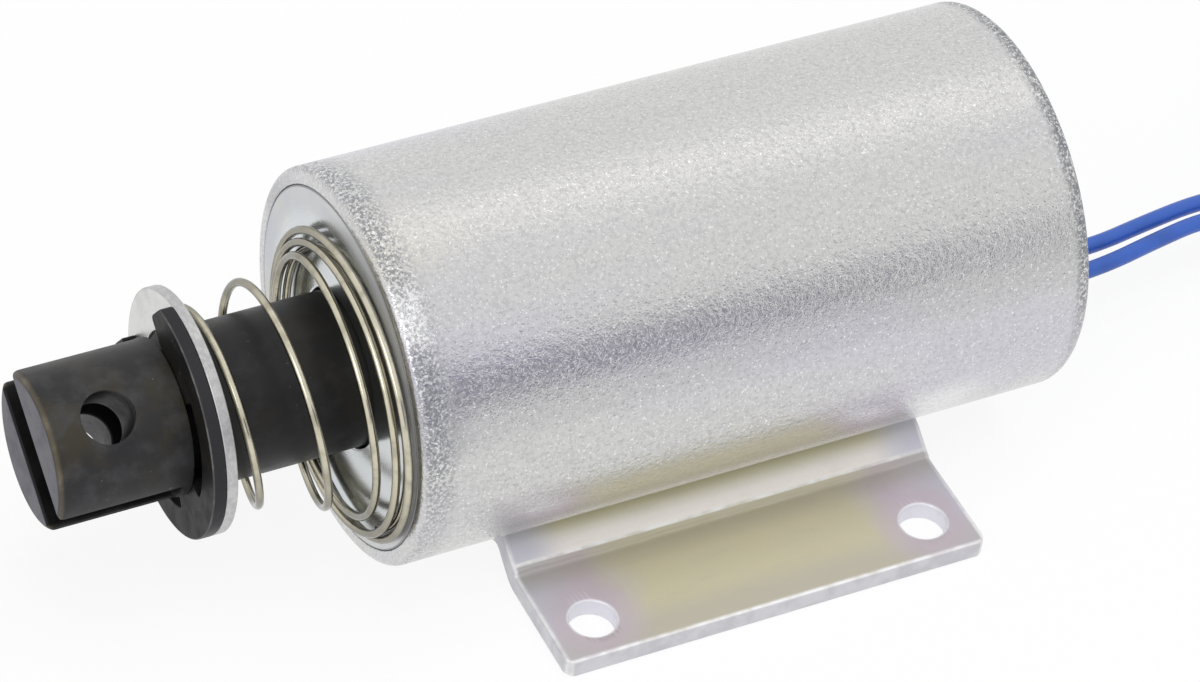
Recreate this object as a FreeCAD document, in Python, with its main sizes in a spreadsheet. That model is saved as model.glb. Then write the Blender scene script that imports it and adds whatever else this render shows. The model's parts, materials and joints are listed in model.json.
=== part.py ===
import FreeCAD, Part
import math
import os
import re

import Sketcher
from FreeCAD import Placement, Rotation, Vector

os.makedirs("parts", exist_ok=True)
doc = FreeCAD.newDocument("tubular_solenoid")

# Driving sizes in millimetres and degrees, one cell each.
# Distances along the plunger axis are measured inwards from the front face of the case.
SIZES = {
    # Case: a steel tube whose two lips are rolled over thick end plates
    "case_diameter": 38.0,
    "case_length": 69.0,
    "case_wall": 2.0,
    "lip_seam_diameter": 34.6,
    "plate_seat_diameter": 35.2,
    "lip_depth": 0.6,
    "front_lip_round": 1.6,
    "rear_lip_round": 1.3,
    # Height of the plunger axis over the foot's underside, and the offset of the foot's hole pattern
    "axis_height": 21.0,
    "foot_shift": 0.7,
    # End plates
    "front_plate_thickness": 5.0,
    "rear_plate_thickness": 5.0,
    "recess_diameter": 31.2,
    "recess_depth": 1.5,
    "dish_diameter": 26.2,
    "dish_step": 0.35,
    "dish_fall": 0.5,
    "plate_bore_gap": 0.15,
    # Plunger and its running fit in the brass guide
    "plunger_diameter": 14.9,
    "running_gap": 0.05,
    "plunger_reach": 30.4,
    "plunger_body_inside": 32.0,
    "plunger_end_round": 0.7,
    "cone_length": 6.0,
    "cone_tip_diameter": 6.0,
    "plunger_turn": 32.5,
    # Clevis end of the plunger: a slot and a cross hole for the pin of the load
    "slot_width": 4.0,
    "slot_depth": 12.3,
    "pin_hole_diameter": 5.0,
    "pin_hole_from_end": 5.8,
    # Retaining clip of the E form in its groove, and the washer that it holds
    "clip_thickness": 1.3,
    "clip_outer_diameter": 23.4,
    "clip_relief_diameter": 17.8,
    "clip_mouth_width": 10.4,
    "clip_tip_height": 8.5,
    "clip_mouth_turn": 36.0,
    "clip_tip_lug_angle": 93.0,
    "clip_back_lug_angle": 20.0,
    "groove_diameter": 12.0,
    "groove_gap": 0.1,
    "washer_thickness": 1.1,
    "washer_bore_gap": 0.2,
    "washer_distance": 15.0,
    # Stroke and what stops it inside
    "stroke": 12.0,
    "stop_gap": 0.1,
    "shim_thickness": 0.4,
    "seat_gap": 0.3,
    "core_face_gap": 0.9,
    # Guide tube, fixed core and coil
    "guide_wall": 0.5,
    "guide_seat_depth": 3.2,
    "fit_gap": 0.05,
    "core_spigot_diameter": 10.0,
    "core_spigot_length": 5.0,
    "disc_thickness": 0.5,
    "bobbin_tube_wall": 1.05,
    "front_flange_thickness": 1.5,
    "rear_flange_thickness": 5.0,
    "flange_gap": 0.4,
    "winding_depth": 6.2,
    "wrap_thickness": 0.4,
    # Conical return spring, wound from the washer to its wide dead turns on the front plate
    # Places along the wire are in half turns from the washer
    "spring_wire": 0.8,
    "spring_half_turns": 12.0,
    "spring_start_turn": 227.3,
    "spring_ease_turns": 0.35,
    "spring_open_from_turn": 0.68,
    "spring_open_to_turn": 4.97,
    "spring_open_rise": 13.1,
    "spring_closed_rise": 1.86,
    "spring_sink_from_turn": 10.15,
    "spring_sink_to_turn": 10.95,
    "spring_sink": 0.7,
    "spring_lean_from_turn": 0.68,
    "spring_lean_full_turn": 1.28,
    "spring_lean_fade_turn": 5.37,
    "spring_lean_end_turn": 6.77,
    "spring_lean": 1.21,
    "spring_tilt": 0.46,
    "spring_sag": 2.23,
    "spring_sag_turn": 209.0,
    "spring_small_radius": 9.5,
    "spring_large_radius": 14.94,
    "spring_last_radius": 12.82,
    "spring_wide_from_turn": 1.52,
    "spring_wide_to_turn": 9.28,
    "spring_last_from_turn": 9.84,
    "spring_last_to_turn": 11.99,
    # Foot: one strip of plate bent round the belly of the case
    "foot_length": 44.5,
    "foot_width": 52.0,
    "foot_thickness": 2.0,
    "foot_slope": 38.0,
    "foot_bend_width": 27.46,
    "foot_bend_radius": 2.5,
    "foot_crest_radius": 2.0,
    "foot_corner_radius": 1.2,
    "foot_hole_diameter": 4.5,
    "foot_hole_spacing_long": 35.2,
    "foot_hole_to_edge": 4.5,
    # Leads and the rubber bush that they leave by
    "lead_diameter": 1.7,
    "lead_spacing": 3.4,
    "lead_drop": 12.9,
    "bush_diameter": 7.0,
    "bush_flange_diameter": 9.0,
    "bush_flange_thickness": 1.0,
    "sleeve_diameter": 2.8,
    "sleeve_length": 4.0,
    "flange_hole_diameter": 3.0,
    "lead_inside": 9.5,
    "lead_coil_radius": 9.35,
    "lead_coil_turns": 2.25,
    "lead_coil_pitch": 1.75,
    "lead_coil_slack": 0.3,
    "lead_coil_x": 84.0,
    "lead_coil_y": 12.6,
    "tinned_length": 5.0,
    "tinned_diameter": 0.9,
}

sheet = doc.addObject("Spreadsheet::Sheet", "sizes")
for row, (alias, number) in enumerate(SIZES.items(), 1):
    sheet.set(f"A{row}", alias.replace("_", " "))
    sheet.set(f"B{row}", str(number))
    sheet.setAlias(f"B{row}", alias)
doc.recompute()

# Lengths that follow from the sheet, as expressions of its names
CASE_R = "case_diameter / 2"
BORE_R = "(case_diameter / 2 - case_wall)"
PLATE_R = "plate_seat_diameter / 2"
SEAM_R = "lip_seam_diameter / 2"
REAR_INNER = "(case_length - rear_plate_thickness)"
FRONT_X = "-(case_length / 2 + foot_shift)"
PLUNGER_R = "plunger_diameter / 2"
GUIDE_R = "(plunger_diameter / 2 + running_gap)"
GUIDE_OUT_R = "(plunger_diameter / 2 + running_gap + guide_wall)"
WASHER_FRONT = "(-washer_distance - washer_thickness)"
CLIP_FRONT = "(-washer_distance - washer_thickness - clip_thickness)"
WASHER_R = "clip_outer_diameter / 2"
CONE_TIP_R = "cone_tip_diameter / 2"
CONE_RATE = "((plunger_diameter - cone_tip_diameter) / 2 / cone_length)"
SEAT_BOTTOM = "(plunger_body_inside + cone_length + stroke + stop_gap + shim_thickness)"
SEAT_BOTTOM_R = "(cone_tip_diameter / 2 + seat_gap)"
CORE_FACE = "(plunger_body_inside + stroke + core_face_gap)"
CORE_MOUTH_R = "(cone_tip_diameter / 2 + seat_gap + (cone_length - core_face_gap) * " + CONE_RATE + ")"
BOBBIN_FRONT = "(front_plate_thickness + disc_thickness)"
BOBBIN_REAR = "(case_length - rear_plate_thickness - disc_thickness)"
BOBBIN_BORE_R = "(plunger_diameter / 2 + running_gap + guide_wall + fit_gap)"
BOBBIN_TUBE_R = "(plunger_diameter / 2 + running_gap + guide_wall + fit_gap + bobbin_tube_wall)"
FLANGE_R = "(case_diameter / 2 - case_wall - flange_gap)"
WINDING_FRONT = "(front_plate_thickness + disc_thickness + front_flange_thickness)"
WINDING_REAR = "(case_length - rear_plate_thickness - disc_thickness - rear_flange_thickness)"
WINDING_R = BOBBIN_TUBE_R + " + winding_depth"
WRAP_R = BOBBIN_TUBE_R + " + winding_depth + wrap_thickness"
HOLE_Y = "(foot_width / 2 - foot_hole_to_edge)"


def bound(text):
    """The expression with each of its names pointed at the sheet."""
    return re.sub(r"[a-z_]+", lambda word: "sizes." + word[0] if word[0] in SIZES else word[0], text)


def value(text):
    """The number that an expression of the sheet's names comes to."""
    return float(sheet.evalExpression(bound(text)))


def make_body(name, place_x=FRONT_X, place_z="axis_height"):
    """A body whose own X axis is the plunger axis, from the front face of the case inwards."""
    body = doc.addObject("PartDesign::Body", name)
    body.Label = name
    body.setExpression(".Placement.Base.x", bound(place_x))
    body.setExpression(".Placement.Base.z", bound(place_z))
    return body


def make_sketch(body, role, name):
    """An empty sketch on one of the body's own origin planes."""
    sketch = body.newObject("Sketcher::SketchObject", f"{body.Name}_{name}")
    plane = next(item for item in body.Origin.OriginFeatures if item.Role == role)
    sketch.AttachmentSupport = [(plane, "")]
    sketch.MapMode = "FlatFace"
    return sketch


def dimension(sketch, text, kind, *target):
    """One dimension of a sketch, held to an expression."""
    number = sketch.addConstraint(Sketcher.Constraint(kind, *target, value(text)))
    if re.search(r"[a-z]", text):
        sketch.setExpression(f"Constraints[{number}]", bound(text))


def draw_outline(sketch, corners):
    """A closed outline of straight lines, each corner dimensioned from the sketch's origin."""
    places = [Vector(value(across), value(up), 0) for across, up in corners]
    for index, place in enumerate(places):
        sketch.addGeometry(Part.LineSegment(place, places[(index + 1) % len(places)]), False)
    for index, (across, up) in enumerate(corners):
        sketch.addConstraint(Sketcher.Constraint("Coincident", (index - 1) % len(places), 2, index, 1))
        dimension(sketch, across, "DistanceX", index, 1)
        dimension(sketch, up, "DistanceY", index, 1)


def draw_circle(sketch, across, up, diameter):
    """A circle with its centre and diameter dimensioned."""
    centre = Vector(value(across), value(up), 0)
    index = sketch.addGeometry(Part.Circle(centre, Vector(0, 0, 1), value(diameter) / 2), False)
    dimension(sketch, across, "DistanceX", index, 3)
    dimension(sketch, up, "DistanceY", index, 3)
    dimension(sketch, diameter, "Diameter", index)


def turned(name, corners, **place):
    """A body turned about the plunger axis from a half outline of distance and radius."""
    body = make_body(name, **place)
    sketch = make_sketch(body, "XZ_Plane", "outline")
    draw_outline(sketch, corners)
    turn = body.newObject("PartDesign::Revolution", name + "_turned")
    turn.Profile = sketch
    turn.ReferenceAxis = (sketch, ["H_Axis"])
    turn.Angle = 360
    doc.recompute()
    return body


def ring(name, start, end, inner, outer):
    """A plain turned ring between two distances and two radii."""
    return turned(name, [(start, inner), (end, inner), (end, outer), (start, outer)])


def cut_through(body, role, name, draw, *figure, start=None, depth=None):
    """A pocket both ways through the body, or from a distance back along the axis to a depth."""
    sketch = make_sketch(body, role, name)
    draw(sketch, *figure)
    pocket = body.newObject("PartDesign::Pocket", f"{body.Name}_{name}_cut")
    pocket.Profile = sketch
    if depth is None:
        pocket.SideType = "Symmetric"
        pocket.Type = "ThroughAll"
    else:
        sketch.setExpression(".AttachmentOffset.Base.z", bound(start))
        pocket.setExpression("Length", bound(depth))
    doc.recompute()


def turn_about_axis(body, angle):
    """Turn a body about the plunger axis by an angle of the sheet."""
    body.Placement.Rotation = Rotation(Vector(1, 0, 0), value(angle))
    body.setExpression(".Placement.Rotation.Angle", bound(angle))


def draw_sector(sketch, radius, first_angle, last_angle):
    """A pie shape about the sketch's origin, from one angle to a larger one."""
    first = math.radians(value(first_angle))
    last = math.radians(value(last_angle))
    reach = value(radius)
    first_corner = Vector(reach * math.cos(first), reach * math.sin(first), 0)
    last_corner = Vector(reach * math.cos(last), reach * math.sin(last), 0)
    origin = Vector(0, 0, 0)
    sketch.addGeometry(Part.LineSegment(origin, first_corner), False)
    circle = Part.Circle(origin, Vector(0, 0, 1), reach)
    sketch.addGeometry(Part.ArcOfCircle(circle, first, last), False)
    sketch.addGeometry(Part.LineSegment(origin, last_corner), False)
    for line, arc_end in ((0, 1), (2, 2)):
        sketch.addConstraint(Sketcher.Constraint("Coincident", line, 1, -1, 1))
        sketch.addConstraint(Sketcher.Constraint("Coincident", line, 2, 1, arc_end))
    sketch.addConstraint(Sketcher.Constraint("Coincident", 1, 3, -1, 1))
    dimension(sketch, radius, "Radius", 1)
    for line, angle in ((0, first_angle), (2, last_angle)):
        number = sketch.addConstraint(Sketcher.Constraint("Angle", line, math.radians(value(angle))))
        sketch.setExpression(f"Constraints[{number}]", bound(angle))


def draw_foot_bend(sketch):
    """Half of the foot's middle line: belly arc, crest, slope, bend and flange, all tangent."""
    height = value("axis_height")
    middle = value("foot_thickness / 2")
    belly = value(CASE_R) + middle
    slope = math.radians(value("foot_slope"))
    crest = value("foot_crest_radius")
    bend = value("foot_bend_radius")
    corner = Vector(value("foot_bend_width / 2"), middle, 0)
    above = Vector(math.sin(slope), math.cos(slope), 0)
    belly_end = math.acos((height * above.y + crest - corner.dot(above)) / (belly + crest)) - slope
    outward = Vector(math.sin(belly_end), -math.cos(belly_end), 0)
    axis = Vector(0, height, 0)
    crest_centre = axis + outward * (belly + crest)
    flange_start = corner + Vector(bend * math.tan(slope / 2), 0, 0)
    bend_centre = flange_start + Vector(0, bend, 0)
    normal = Vector(0, 0, 1)
    down = -math.pi / 2
    sketch.addGeometry(Part.ArcOfCircle(Part.Circle(axis, normal, belly), down, down + belly_end), False)
    crest_start = math.pi / 2 - slope
    crest_arc = Part.ArcOfCircle(Part.Circle(crest_centre, normal, crest), crest_start, belly_end - down)
    sketch.addGeometry(crest_arc, False)
    slope_line = Part.LineSegment(crest_centre + above * crest, bend_centre - above * bend)
    sketch.addGeometry(slope_line, False)
    bend_arc = Part.ArcOfCircle(Part.Circle(bend_centre, normal, bend), down - slope, down)
    sketch.addGeometry(bend_arc, False)
    sketch.addGeometry(Part.LineSegment(flange_start, Vector(value("foot_width / 2"), middle, 0)), False)
    for first, first_end, second, second_end in ((0, 2, 1, 2), (1, 1, 2, 1), (2, 2, 3, 1), (3, 2, 4, 1)):
        sketch.addConstraint(Sketcher.Constraint("Tangent", first, first_end, second, second_end))
    sketch.addConstraint(Sketcher.Constraint("PointOnObject", 0, 3, -2))
    sketch.addConstraint(Sketcher.Constraint("PointOnObject", 0, 1, -2))
    sketch.addConstraint(Sketcher.Constraint("Horizontal", 4))
    dimension(sketch, "axis_height", "DistanceY", 0, 3)
    dimension(sketch, CASE_R + " + foot_thickness / 2", "Radius", 0)
    dimension(sketch, "foot_crest_radius", "Radius", 1)
    dimension(sketch, "foot_bend_radius", "Radius", 3)
    dimension(sketch, "foot_bend_width / 2 + foot_bend_radius * tan(foot_slope / 2)", "DistanceX", 4, 1)
    dimension(sketch, "foot_thickness / 2", "DistanceY", 4, 2)
    dimension(sketch, "foot_width / 2", "DistanceX", 4, 2)
    number = sketch.addConstraint(Sketcher.Constraint("Angle", 2, -slope))
    sketch.setExpression(f"Constraints[{number}]", bound("-foot_slope"))


def ring_edges(body, distance, radius):
    """Names of the body's circular edges about its X axis at a distance and radius."""
    found = []
    for number, edge in enumerate(body.Tip.Shape.Edges, 1):
        curve = edge.Curve
        if isinstance(curve, Part.Circle):
            same_place = abs(curve.Center.x - value(distance)) < 1e-4
            if same_place and abs(curve.Radius - value(radius)) < 1e-4 and abs(curve.Axis.x) > 0.999:
                found.append(f"Edge{number}")
    return found


def upright_edges(body):
    """Names of the body's straight edges along Z at its furthest corners."""
    box = body.Tip.Shape.BoundBox
    found = []
    for number, edge in enumerate(body.Tip.Shape.Edges, 1):
        centre = edge.CenterOfMass
        at_corner = abs(abs(centre.x) - box.XMax) < 1e-4 and abs(abs(centre.y) - box.YMax) < 1e-4
        if at_corner:
            found.append(f"Edge{number}")
    return found


def dress(body, kind, edges, size, name):
    """A fillet or chamfer of a sheet size along some of the body's edges."""
    base = body.Tip
    feature = body.newObject(f"PartDesign::{kind}", f"{body.Name}_{name}")
    feature.Base = (base, edges)
    feature.setExpression("Radius" if kind == "Fillet" else "Size", bound(size))
    doc.recompute()


# Case tube, with a counterbore and a rolled lip at each end
case_tube = turned(
    "case_tube",
    [
        ("0", SEAM_R),
        ("lip_depth", PLATE_R),
        ("front_plate_thickness", PLATE_R),
        ("front_plate_thickness", BORE_R),
        (REAR_INNER, BORE_R),
        (REAR_INNER, PLATE_R),
        ("case_length - lip_depth", PLATE_R),
        ("case_length", SEAM_R),
        ("case_length", CASE_R),
        ("0", CASE_R),
    ],
)
dress(case_tube, "Fillet", ring_edges(case_tube, "0", CASE_R), "front_lip_round", "front_round")
dress(case_tube, "Fillet", ring_edges(case_tube, "case_length", CASE_R), "rear_lip_round", "rear_round")

# Front plate: a recess with a dished floor round the plunger bore, and a seat for the guide behind
plate_bore_r = PLUNGER_R + " + plate_bore_gap"
turned(
    "front_plate",
    [
        ("0", "recess_diameter / 2"),
        ("recess_depth", "recess_diameter / 2"),
        ("recess_depth", "dish_diameter / 2"),
        ("recess_depth + dish_step", "dish_diameter / 2"),
        ("recess_depth + dish_step + dish_fall", plate_bore_r),
        ("guide_seat_depth", plate_bore_r),
        ("guide_seat_depth", GUIDE_OUT_R),
        ("front_plate_thickness", GUIDE_OUT_R),
        ("front_plate_thickness", PLATE_R),
        ("lip_depth", PLATE_R),
        ("0", SEAM_R),
    ],
)

# Rear plate: holds the fixed core's spigot and the lead bush
rear_plate = turned(
    "rear_plate",
    [
        (REAR_INNER, "core_spigot_diameter / 2"),
        ("case_length", "core_spigot_diameter / 2"),
        ("case_length", SEAM_R),
        ("case_length - lip_depth", PLATE_R),
        (REAR_INNER, PLATE_R),
    ],
)
cut_through(rear_plate, "YZ_Plane", "bush_hole", draw_circle, "0", "-lead_drop", "bush_diameter")

# Brass guide tube from the front plate back over the fixed core
ring("guide_tube", "guide_seat_depth", BOBBIN_REAR, GUIDE_R, GUIDE_OUT_R)

# Fixed core: a conical seat for the plunger in front, a spigot in the rear plate behind
core_r = GUIDE_R + " - fit_gap"
turned(
    "fixed_core",
    [
        (SEAT_BOTTOM, "0"),
        (SEAT_BOTTOM, SEAT_BOTTOM_R),
        (CORE_FACE, CORE_MOUTH_R),
        (CORE_FACE, core_r),
        (REAR_INNER, core_r),
        (REAR_INNER, "core_spigot_diameter / 2"),
        (REAR_INNER + " + core_spigot_length", "core_spigot_diameter / 2"),
        (REAR_INNER + " + core_spigot_length", "0"),
    ],
)

# Brass disc in the bottom of the seat, which keeps the plunger from sticking to the core
turned(
    "stop_shim",
    [
        (SEAT_BOTTOM + " - shim_thickness", "0"),
        (SEAT_BOTTOM, "0"),
        (SEAT_BOTTOM, CONE_TIP_R),
        (SEAT_BOTTOM + " - shim_thickness", CONE_TIP_R),
    ],
)

# Bobbin with a thin front flange and a thick rear one that holds the two splices
bobbin = turned(
    "bobbin",
    [
        (BOBBIN_FRONT, BOBBIN_BORE_R),
        (BOBBIN_REAR, BOBBIN_BORE_R),
        (BOBBIN_REAR, FLANGE_R),
        (WINDING_REAR, FLANGE_R),
        (WINDING_REAR, BOBBIN_TUBE_R),
        (WINDING_FRONT, BOBBIN_TUBE_R),
        (WINDING_FRONT, FLANGE_R),
        (BOBBIN_FRONT, FLANGE_R),
    ],
)
ring("coil_winding", WINDING_FRONT, WINDING_REAR, BOBBIN_TUBE_R, WINDING_R)
ring("coil_wrap", WINDING_FRONT, WINDING_REAR, WINDING_R, WRAP_R)
ring("front_insulating_disc", "front_plate_thickness", BOBBIN_FRONT, BOBBIN_BORE_R, FLANGE_R)
rear_disc = ring("rear_insulating_disc", BOBBIN_REAR, REAR_INNER, BOBBIN_BORE_R, FLANGE_R)

# Rubber bush in the rear plate, from its inner face to a flange outside
bush = turned(
    "lead_bush",
    [
        ("-rear_plate_thickness", "0"),
        ("-rear_plate_thickness", "bush_diameter / 2"),
        ("0", "bush_diameter / 2"),
        ("0", "bush_flange_diameter / 2"),
        ("bush_flange_thickness", "bush_flange_diameter / 2"),
        ("bush_flange_thickness", "0"),
    ],
    place_x=FRONT_X + " + case_length",
    place_z="axis_height - lead_drop",
)

# Holes for the two leads, side by side, and the wider ones that hold the splices
for side, sign in (("left", "-"), ("right", "")):
    lead_y = sign + "lead_spacing / 2"
    name = side + "_hole"
    cut_through(bush, "YZ_Plane", name, draw_circle, lead_y, "0", "lead_diameter")
    cut_through(rear_disc, "YZ_Plane", name, draw_circle, lead_y, "-lead_drop", "lead_diameter")
    cut_through(bobbin, "YZ_Plane", name, draw_circle, lead_y, "-lead_drop", "flange_hole_diameter",
                start=BOBBIN_REAR, depth="rear_flange_thickness")

# Each lead's hidden end runs from the bush to a splice sleeve in the bobbin's rear flange
TAIL_START = "(case_length - lead_inside)"
TAIL_END = "case_length + bush_flange_thickness"
SLEEVE_END = TAIL_START + " + sleeve_length"
for number, sign in ((1, ""), (2, "-")):
    tail = ring(f"lead_{number}_tail", TAIL_START, TAIL_END, "0", "lead_diameter / 2")
    sleeve = ring(f"splice_sleeve_{number}", TAIL_START, SLEEVE_END, "lead_diameter / 2", "sleeve_diameter / 2")
    for piece in (tail, sleeve):
        piece.setExpression(".Placement.Base.y", bound(sign + "lead_spacing / 2"))
        piece.setExpression(".Placement.Base.z", bound("axis_height - lead_drop"))

# Plunger: groove for the clip, slotted clevis end with a cross hole, conical inner end
GROOVE_REAR = "(groove_gap / 2 - washer_distance - washer_thickness)"
GROOVE_FRONT = "(-groove_gap / 2 - washer_distance - washer_thickness - clip_thickness)"
plunger = turned(
    "plunger",
    [
        ("-plunger_reach", "0"),
        ("-plunger_reach", PLUNGER_R),
        (GROOVE_FRONT, PLUNGER_R),
        (GROOVE_FRONT, "groove_diameter / 2"),
        (GROOVE_REAR, "groove_diameter / 2"),
        (GROOVE_REAR, PLUNGER_R),
        ("plunger_body_inside", PLUNGER_R),
        ("plunger_body_inside + cone_length", CONE_TIP_R),
        ("plunger_body_inside + cone_length", "0"),
    ],
)
dress(plunger, "Fillet", ring_edges(plunger, "-plunger_reach", PLUNGER_R), "plunger_end_round", "end_round")
slot_outline = [
    ("-plunger_reach - plunger_end_round", "-slot_width / 2"),
    ("slot_depth - plunger_reach", "-slot_width / 2"),
    ("slot_depth - plunger_reach", "slot_width / 2"),
    ("-plunger_reach - plunger_end_round", "slot_width / 2"),
]
cut_through(plunger, "XZ_Plane", "slot", draw_outline, slot_outline)
cut_through(plunger, "XY_Plane", "pin_hole", draw_circle, "pin_hole_from_end - plunger_reach", "0",
            "pin_hole_diameter")
turn_about_axis(plunger, "plunger_turn")

# Retaining clip: a flat ring open at its mouth, which grips the groove with three lugs
clip = ring("retaining_clip", CLIP_FRONT, WASHER_FRONT, "groove_diameter / 2", "clip_outer_diameter / 2")
tip_flat = [
    ("clip_tip_height", "-clip_outer_diameter"),
    ("clip_outer_diameter", "-clip_outer_diameter"),
    ("clip_outer_diameter", "clip_outer_diameter"),
    ("clip_tip_height", "clip_outer_diameter"),
]
mouth = [
    ("0", "-clip_mouth_width / 2"),
    ("clip_outer_diameter", "-clip_mouth_width / 2"),
    ("clip_outer_diameter", "clip_mouth_width / 2"),
    ("0", "clip_mouth_width / 2"),
]
cut_through(clip, "YZ_Plane", "tips", draw_outline, tip_flat)
cut_through(clip, "YZ_Plane", "mouth", draw_outline, mouth)
cut_through(clip, "YZ_Plane", "relief_up", draw_sector, "clip_relief_diameter / 2",
            "clip_tip_lug_angle", "180 - clip_back_lug_angle")
cut_through(clip, "YZ_Plane", "relief_down", draw_sector, "clip_relief_diameter / 2",
            "clip_back_lug_angle - 180", "-clip_tip_lug_angle")
turn_about_axis(clip, "clip_mouth_turn")

ring("spring_washer", WASHER_FRONT, "-washer_distance", PLUNGER_R + " + washer_bore_gap", WASHER_R)

# Foot: half of the strip is swept along its bend, then mirrored, rounded at its corners and drilled
foot = make_body("foot_plate", place_x="0", place_z="0")
bend = make_sketch(foot, "YZ_Plane", "bend")
draw_foot_bend(bend)
strip = make_sketch(foot, "XZ_Plane", "strip")
draw_outline(
    strip,
    [
        ("-foot_length / 2", "0"),
        ("foot_length / 2", "0"),
        ("foot_length / 2", "foot_thickness"),
        ("-foot_length / 2", "foot_thickness"),
    ],
)
half_foot = foot.newObject("PartDesign::AdditivePipe", "foot_half")
half_foot.Profile = strip
half_foot.Spine = (bend, [])
mirrored = foot.newObject("PartDesign::Mirrored", "foot_mirrored")
mirrored.Originals = [half_foot]
mirrored.MirrorPlane = (next(item for item in foot.Origin.OriginFeatures if item.Role == "XZ_Plane"), [""])
foot.Tip = mirrored
doc.recompute()
dress(foot, "Fillet", upright_edges(foot), "foot_corner_radius", "corners")
for row, along in enumerate(("-foot_hole_spacing_long / 2", "foot_hole_spacing_long / 2")):
    for column, across in enumerate(("-" + HOLE_Y, HOLE_Y)):
        cut_through(foot, "XY_Plane", f"hole_{row}{column}", draw_circle, along, across, "foot_hole_diameter")


def solid_object(name, shape):
    """A piece whose shape is worked out from the sheet in code."""
    piece = doc.addObject("Part::Feature", name)
    piece.Label = name
    piece.Shape = shape
    return piece


def round_sweep(path, start, direction, diameter):
    """A round bar along a path of tangent edges."""
    section = Part.Wire([Part.Circle(start, direction, diameter / 2).toShape()])
    return Part.Wire(path).makePipeShell([section], True, True, 1)


def gradual(turn, begin, finish):
    """Share from nought to one between two places along the wire, its corners softened."""
    ease = value("spring_ease_turns")
    since_begin = turn - value(begin)
    since_finish = turn - value(finish)
    risen = since_begin + math.hypot(since_begin, ease) - since_finish - math.hypot(since_finish, ease)
    return risen / 2 / value(f"{finish} - {begin}")


def spring_climb(turn):
    """How far along the axis the wire has come, apart from the lean and the tilt of its turns."""
    climb = value("spring_open_rise") * gradual(turn, "spring_open_from_turn", "spring_open_to_turn")
    climb += value("spring_closed_rise") * gradual(turn, "spring_open_to_turn", "spring_half_turns")
    return climb + value("spring_sink") * gradual(turn, "spring_sink_from_turn", "spring_sink_to_turn")


def spring_point(turn):
    """Place of the spring's wire centre after a number of half turns from the washer."""
    share = turn / value("spring_half_turns")
    angle = math.radians(value("spring_start_turn")) + math.pi * turn
    sag_angle = math.radians(value("spring_sag_turn"))
    sag = value("spring_sag") * share
    leaning = gradual(turn, "spring_lean_from_turn", "spring_lean_full_turn")
    leaning -= gradual(turn, "spring_lean_fade_turn", "spring_lean_end_turn")
    along = value("-washer_distance + spring_wire / 2") + spring_climb(turn) - spring_climb(0)
    along += value("spring_lean") * leaning * math.sin(math.pi * turn)
    along -= value("spring_tilt") * share * math.cos(angle - sag_angle)
    radius = value("spring_small_radius")
    growth = value("spring_large_radius - spring_small_radius")
    radius += growth * gradual(turn, "spring_wide_from_turn", "spring_wide_to_turn")
    closing = value("spring_large_radius - spring_last_radius")
    radius -= closing * gradual(turn, "spring_last_from_turn", "spring_last_to_turn")
    across = sag * math.cos(sag_angle) + radius * math.cos(angle)
    return Vector(along, across, sag * math.sin(sag_angle) + radius * math.sin(angle))


def arc_from(begin, heading, finish):
    """The arc that leaves a place in a direction and ends at another place."""
    chord = (finish - begin).normalize()
    sideways = (heading - chord * heading.dot(chord)).normalize()
    bulge = begin.distanceToPoint(finish) / 2 * math.tan(heading.getAngle(chord) / 2)
    return Part.Arc(begin, (begin + finish) / 2 + sideways * bulge, finish).toShape()


def tangent_arcs(places, headings):
    """Two arcs from each place to the next, tangent to each other and to the heading at every place."""
    arcs = []
    for begin, finish, leaving, arriving in zip(places, places[1:], headings, headings[1:]):
        step = finish - begin
        spread = step.dot(leaving + arriving)
        turning = 2 * (1 - leaving.dot(arriving))
        reach = (math.sqrt(spread**2 + turning * step.dot(step)) - spread) / turning
        joint = (begin + finish + (leaving - arriving) * reach) / 2
        arcs.append(arc_from(begin, leaving, joint))
        arcs.append(arc_from(joint, step - (leaving + arriving) * reach, finish))
    return arcs


# Return spring: a wire along tangent arcs, through places and headings worked out from the sheet
spring_spans = 16
spring_places = []
spring_headings = []
for span in range(spring_spans + 1):
    turn = value("spring_half_turns") * span / spring_spans
    spring_places.append(spring_point(turn))
    spring_headings.append((spring_point(turn + 0.01) - spring_point(turn - 0.01)).normalize())
spring_path = tangent_arcs(spring_places, spring_headings)
spring_wire = round_sweep(spring_path, spring_places[0], spring_headings[0], value("spring_wire"))
spring = solid_object("return_spring", spring_wire)
spring.Placement.Base = Vector(value(FRONT_X), 0, value("axis_height"))

# Routes of the leads in the open, from the bush to their put-away coils, and from those to their ends
LEAD_ROUTES = {
    1: [
        (34.8, 1.7, 8.1),
        (41.5, 1.35, 8.1),
        (48.0, 1.0, 8.15),
        (54.8, 2.15, 8.1),
        (61.4, 3.3, 7.7),
        (67.8, 3.65, 6.8),
        (74.0, 3.3, 5.8),
        (79.6, 3.2, 5.1),
        (84.0, 3.25, 4.7),
    ],
    2: [
        (34.8, -1.7, 8.1),
        (41.5, -2.05, 8.1),
        (47.8, -1.85, 8.15),
        (54.4, -0.5, 8.1),
        (60.8, 0.85, 7.7),
        (67.2, 0.7, 6.8),
        (73.4, -1.2, 5.8),
        (79.3, -2.7, 5.1),
        (84.0, -3.25, 4.7),
    ],
}
# Steps of the last stretches, along and away from the middle, from the outer side of each coil
LEAD_END_STEPS = {
    1: [(0, 0), (0.15, 5.6), (1.25, 10.6)],
    2: [(0, 0), (0.25, 5.4), (1.65, 10.3)],
}


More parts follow.
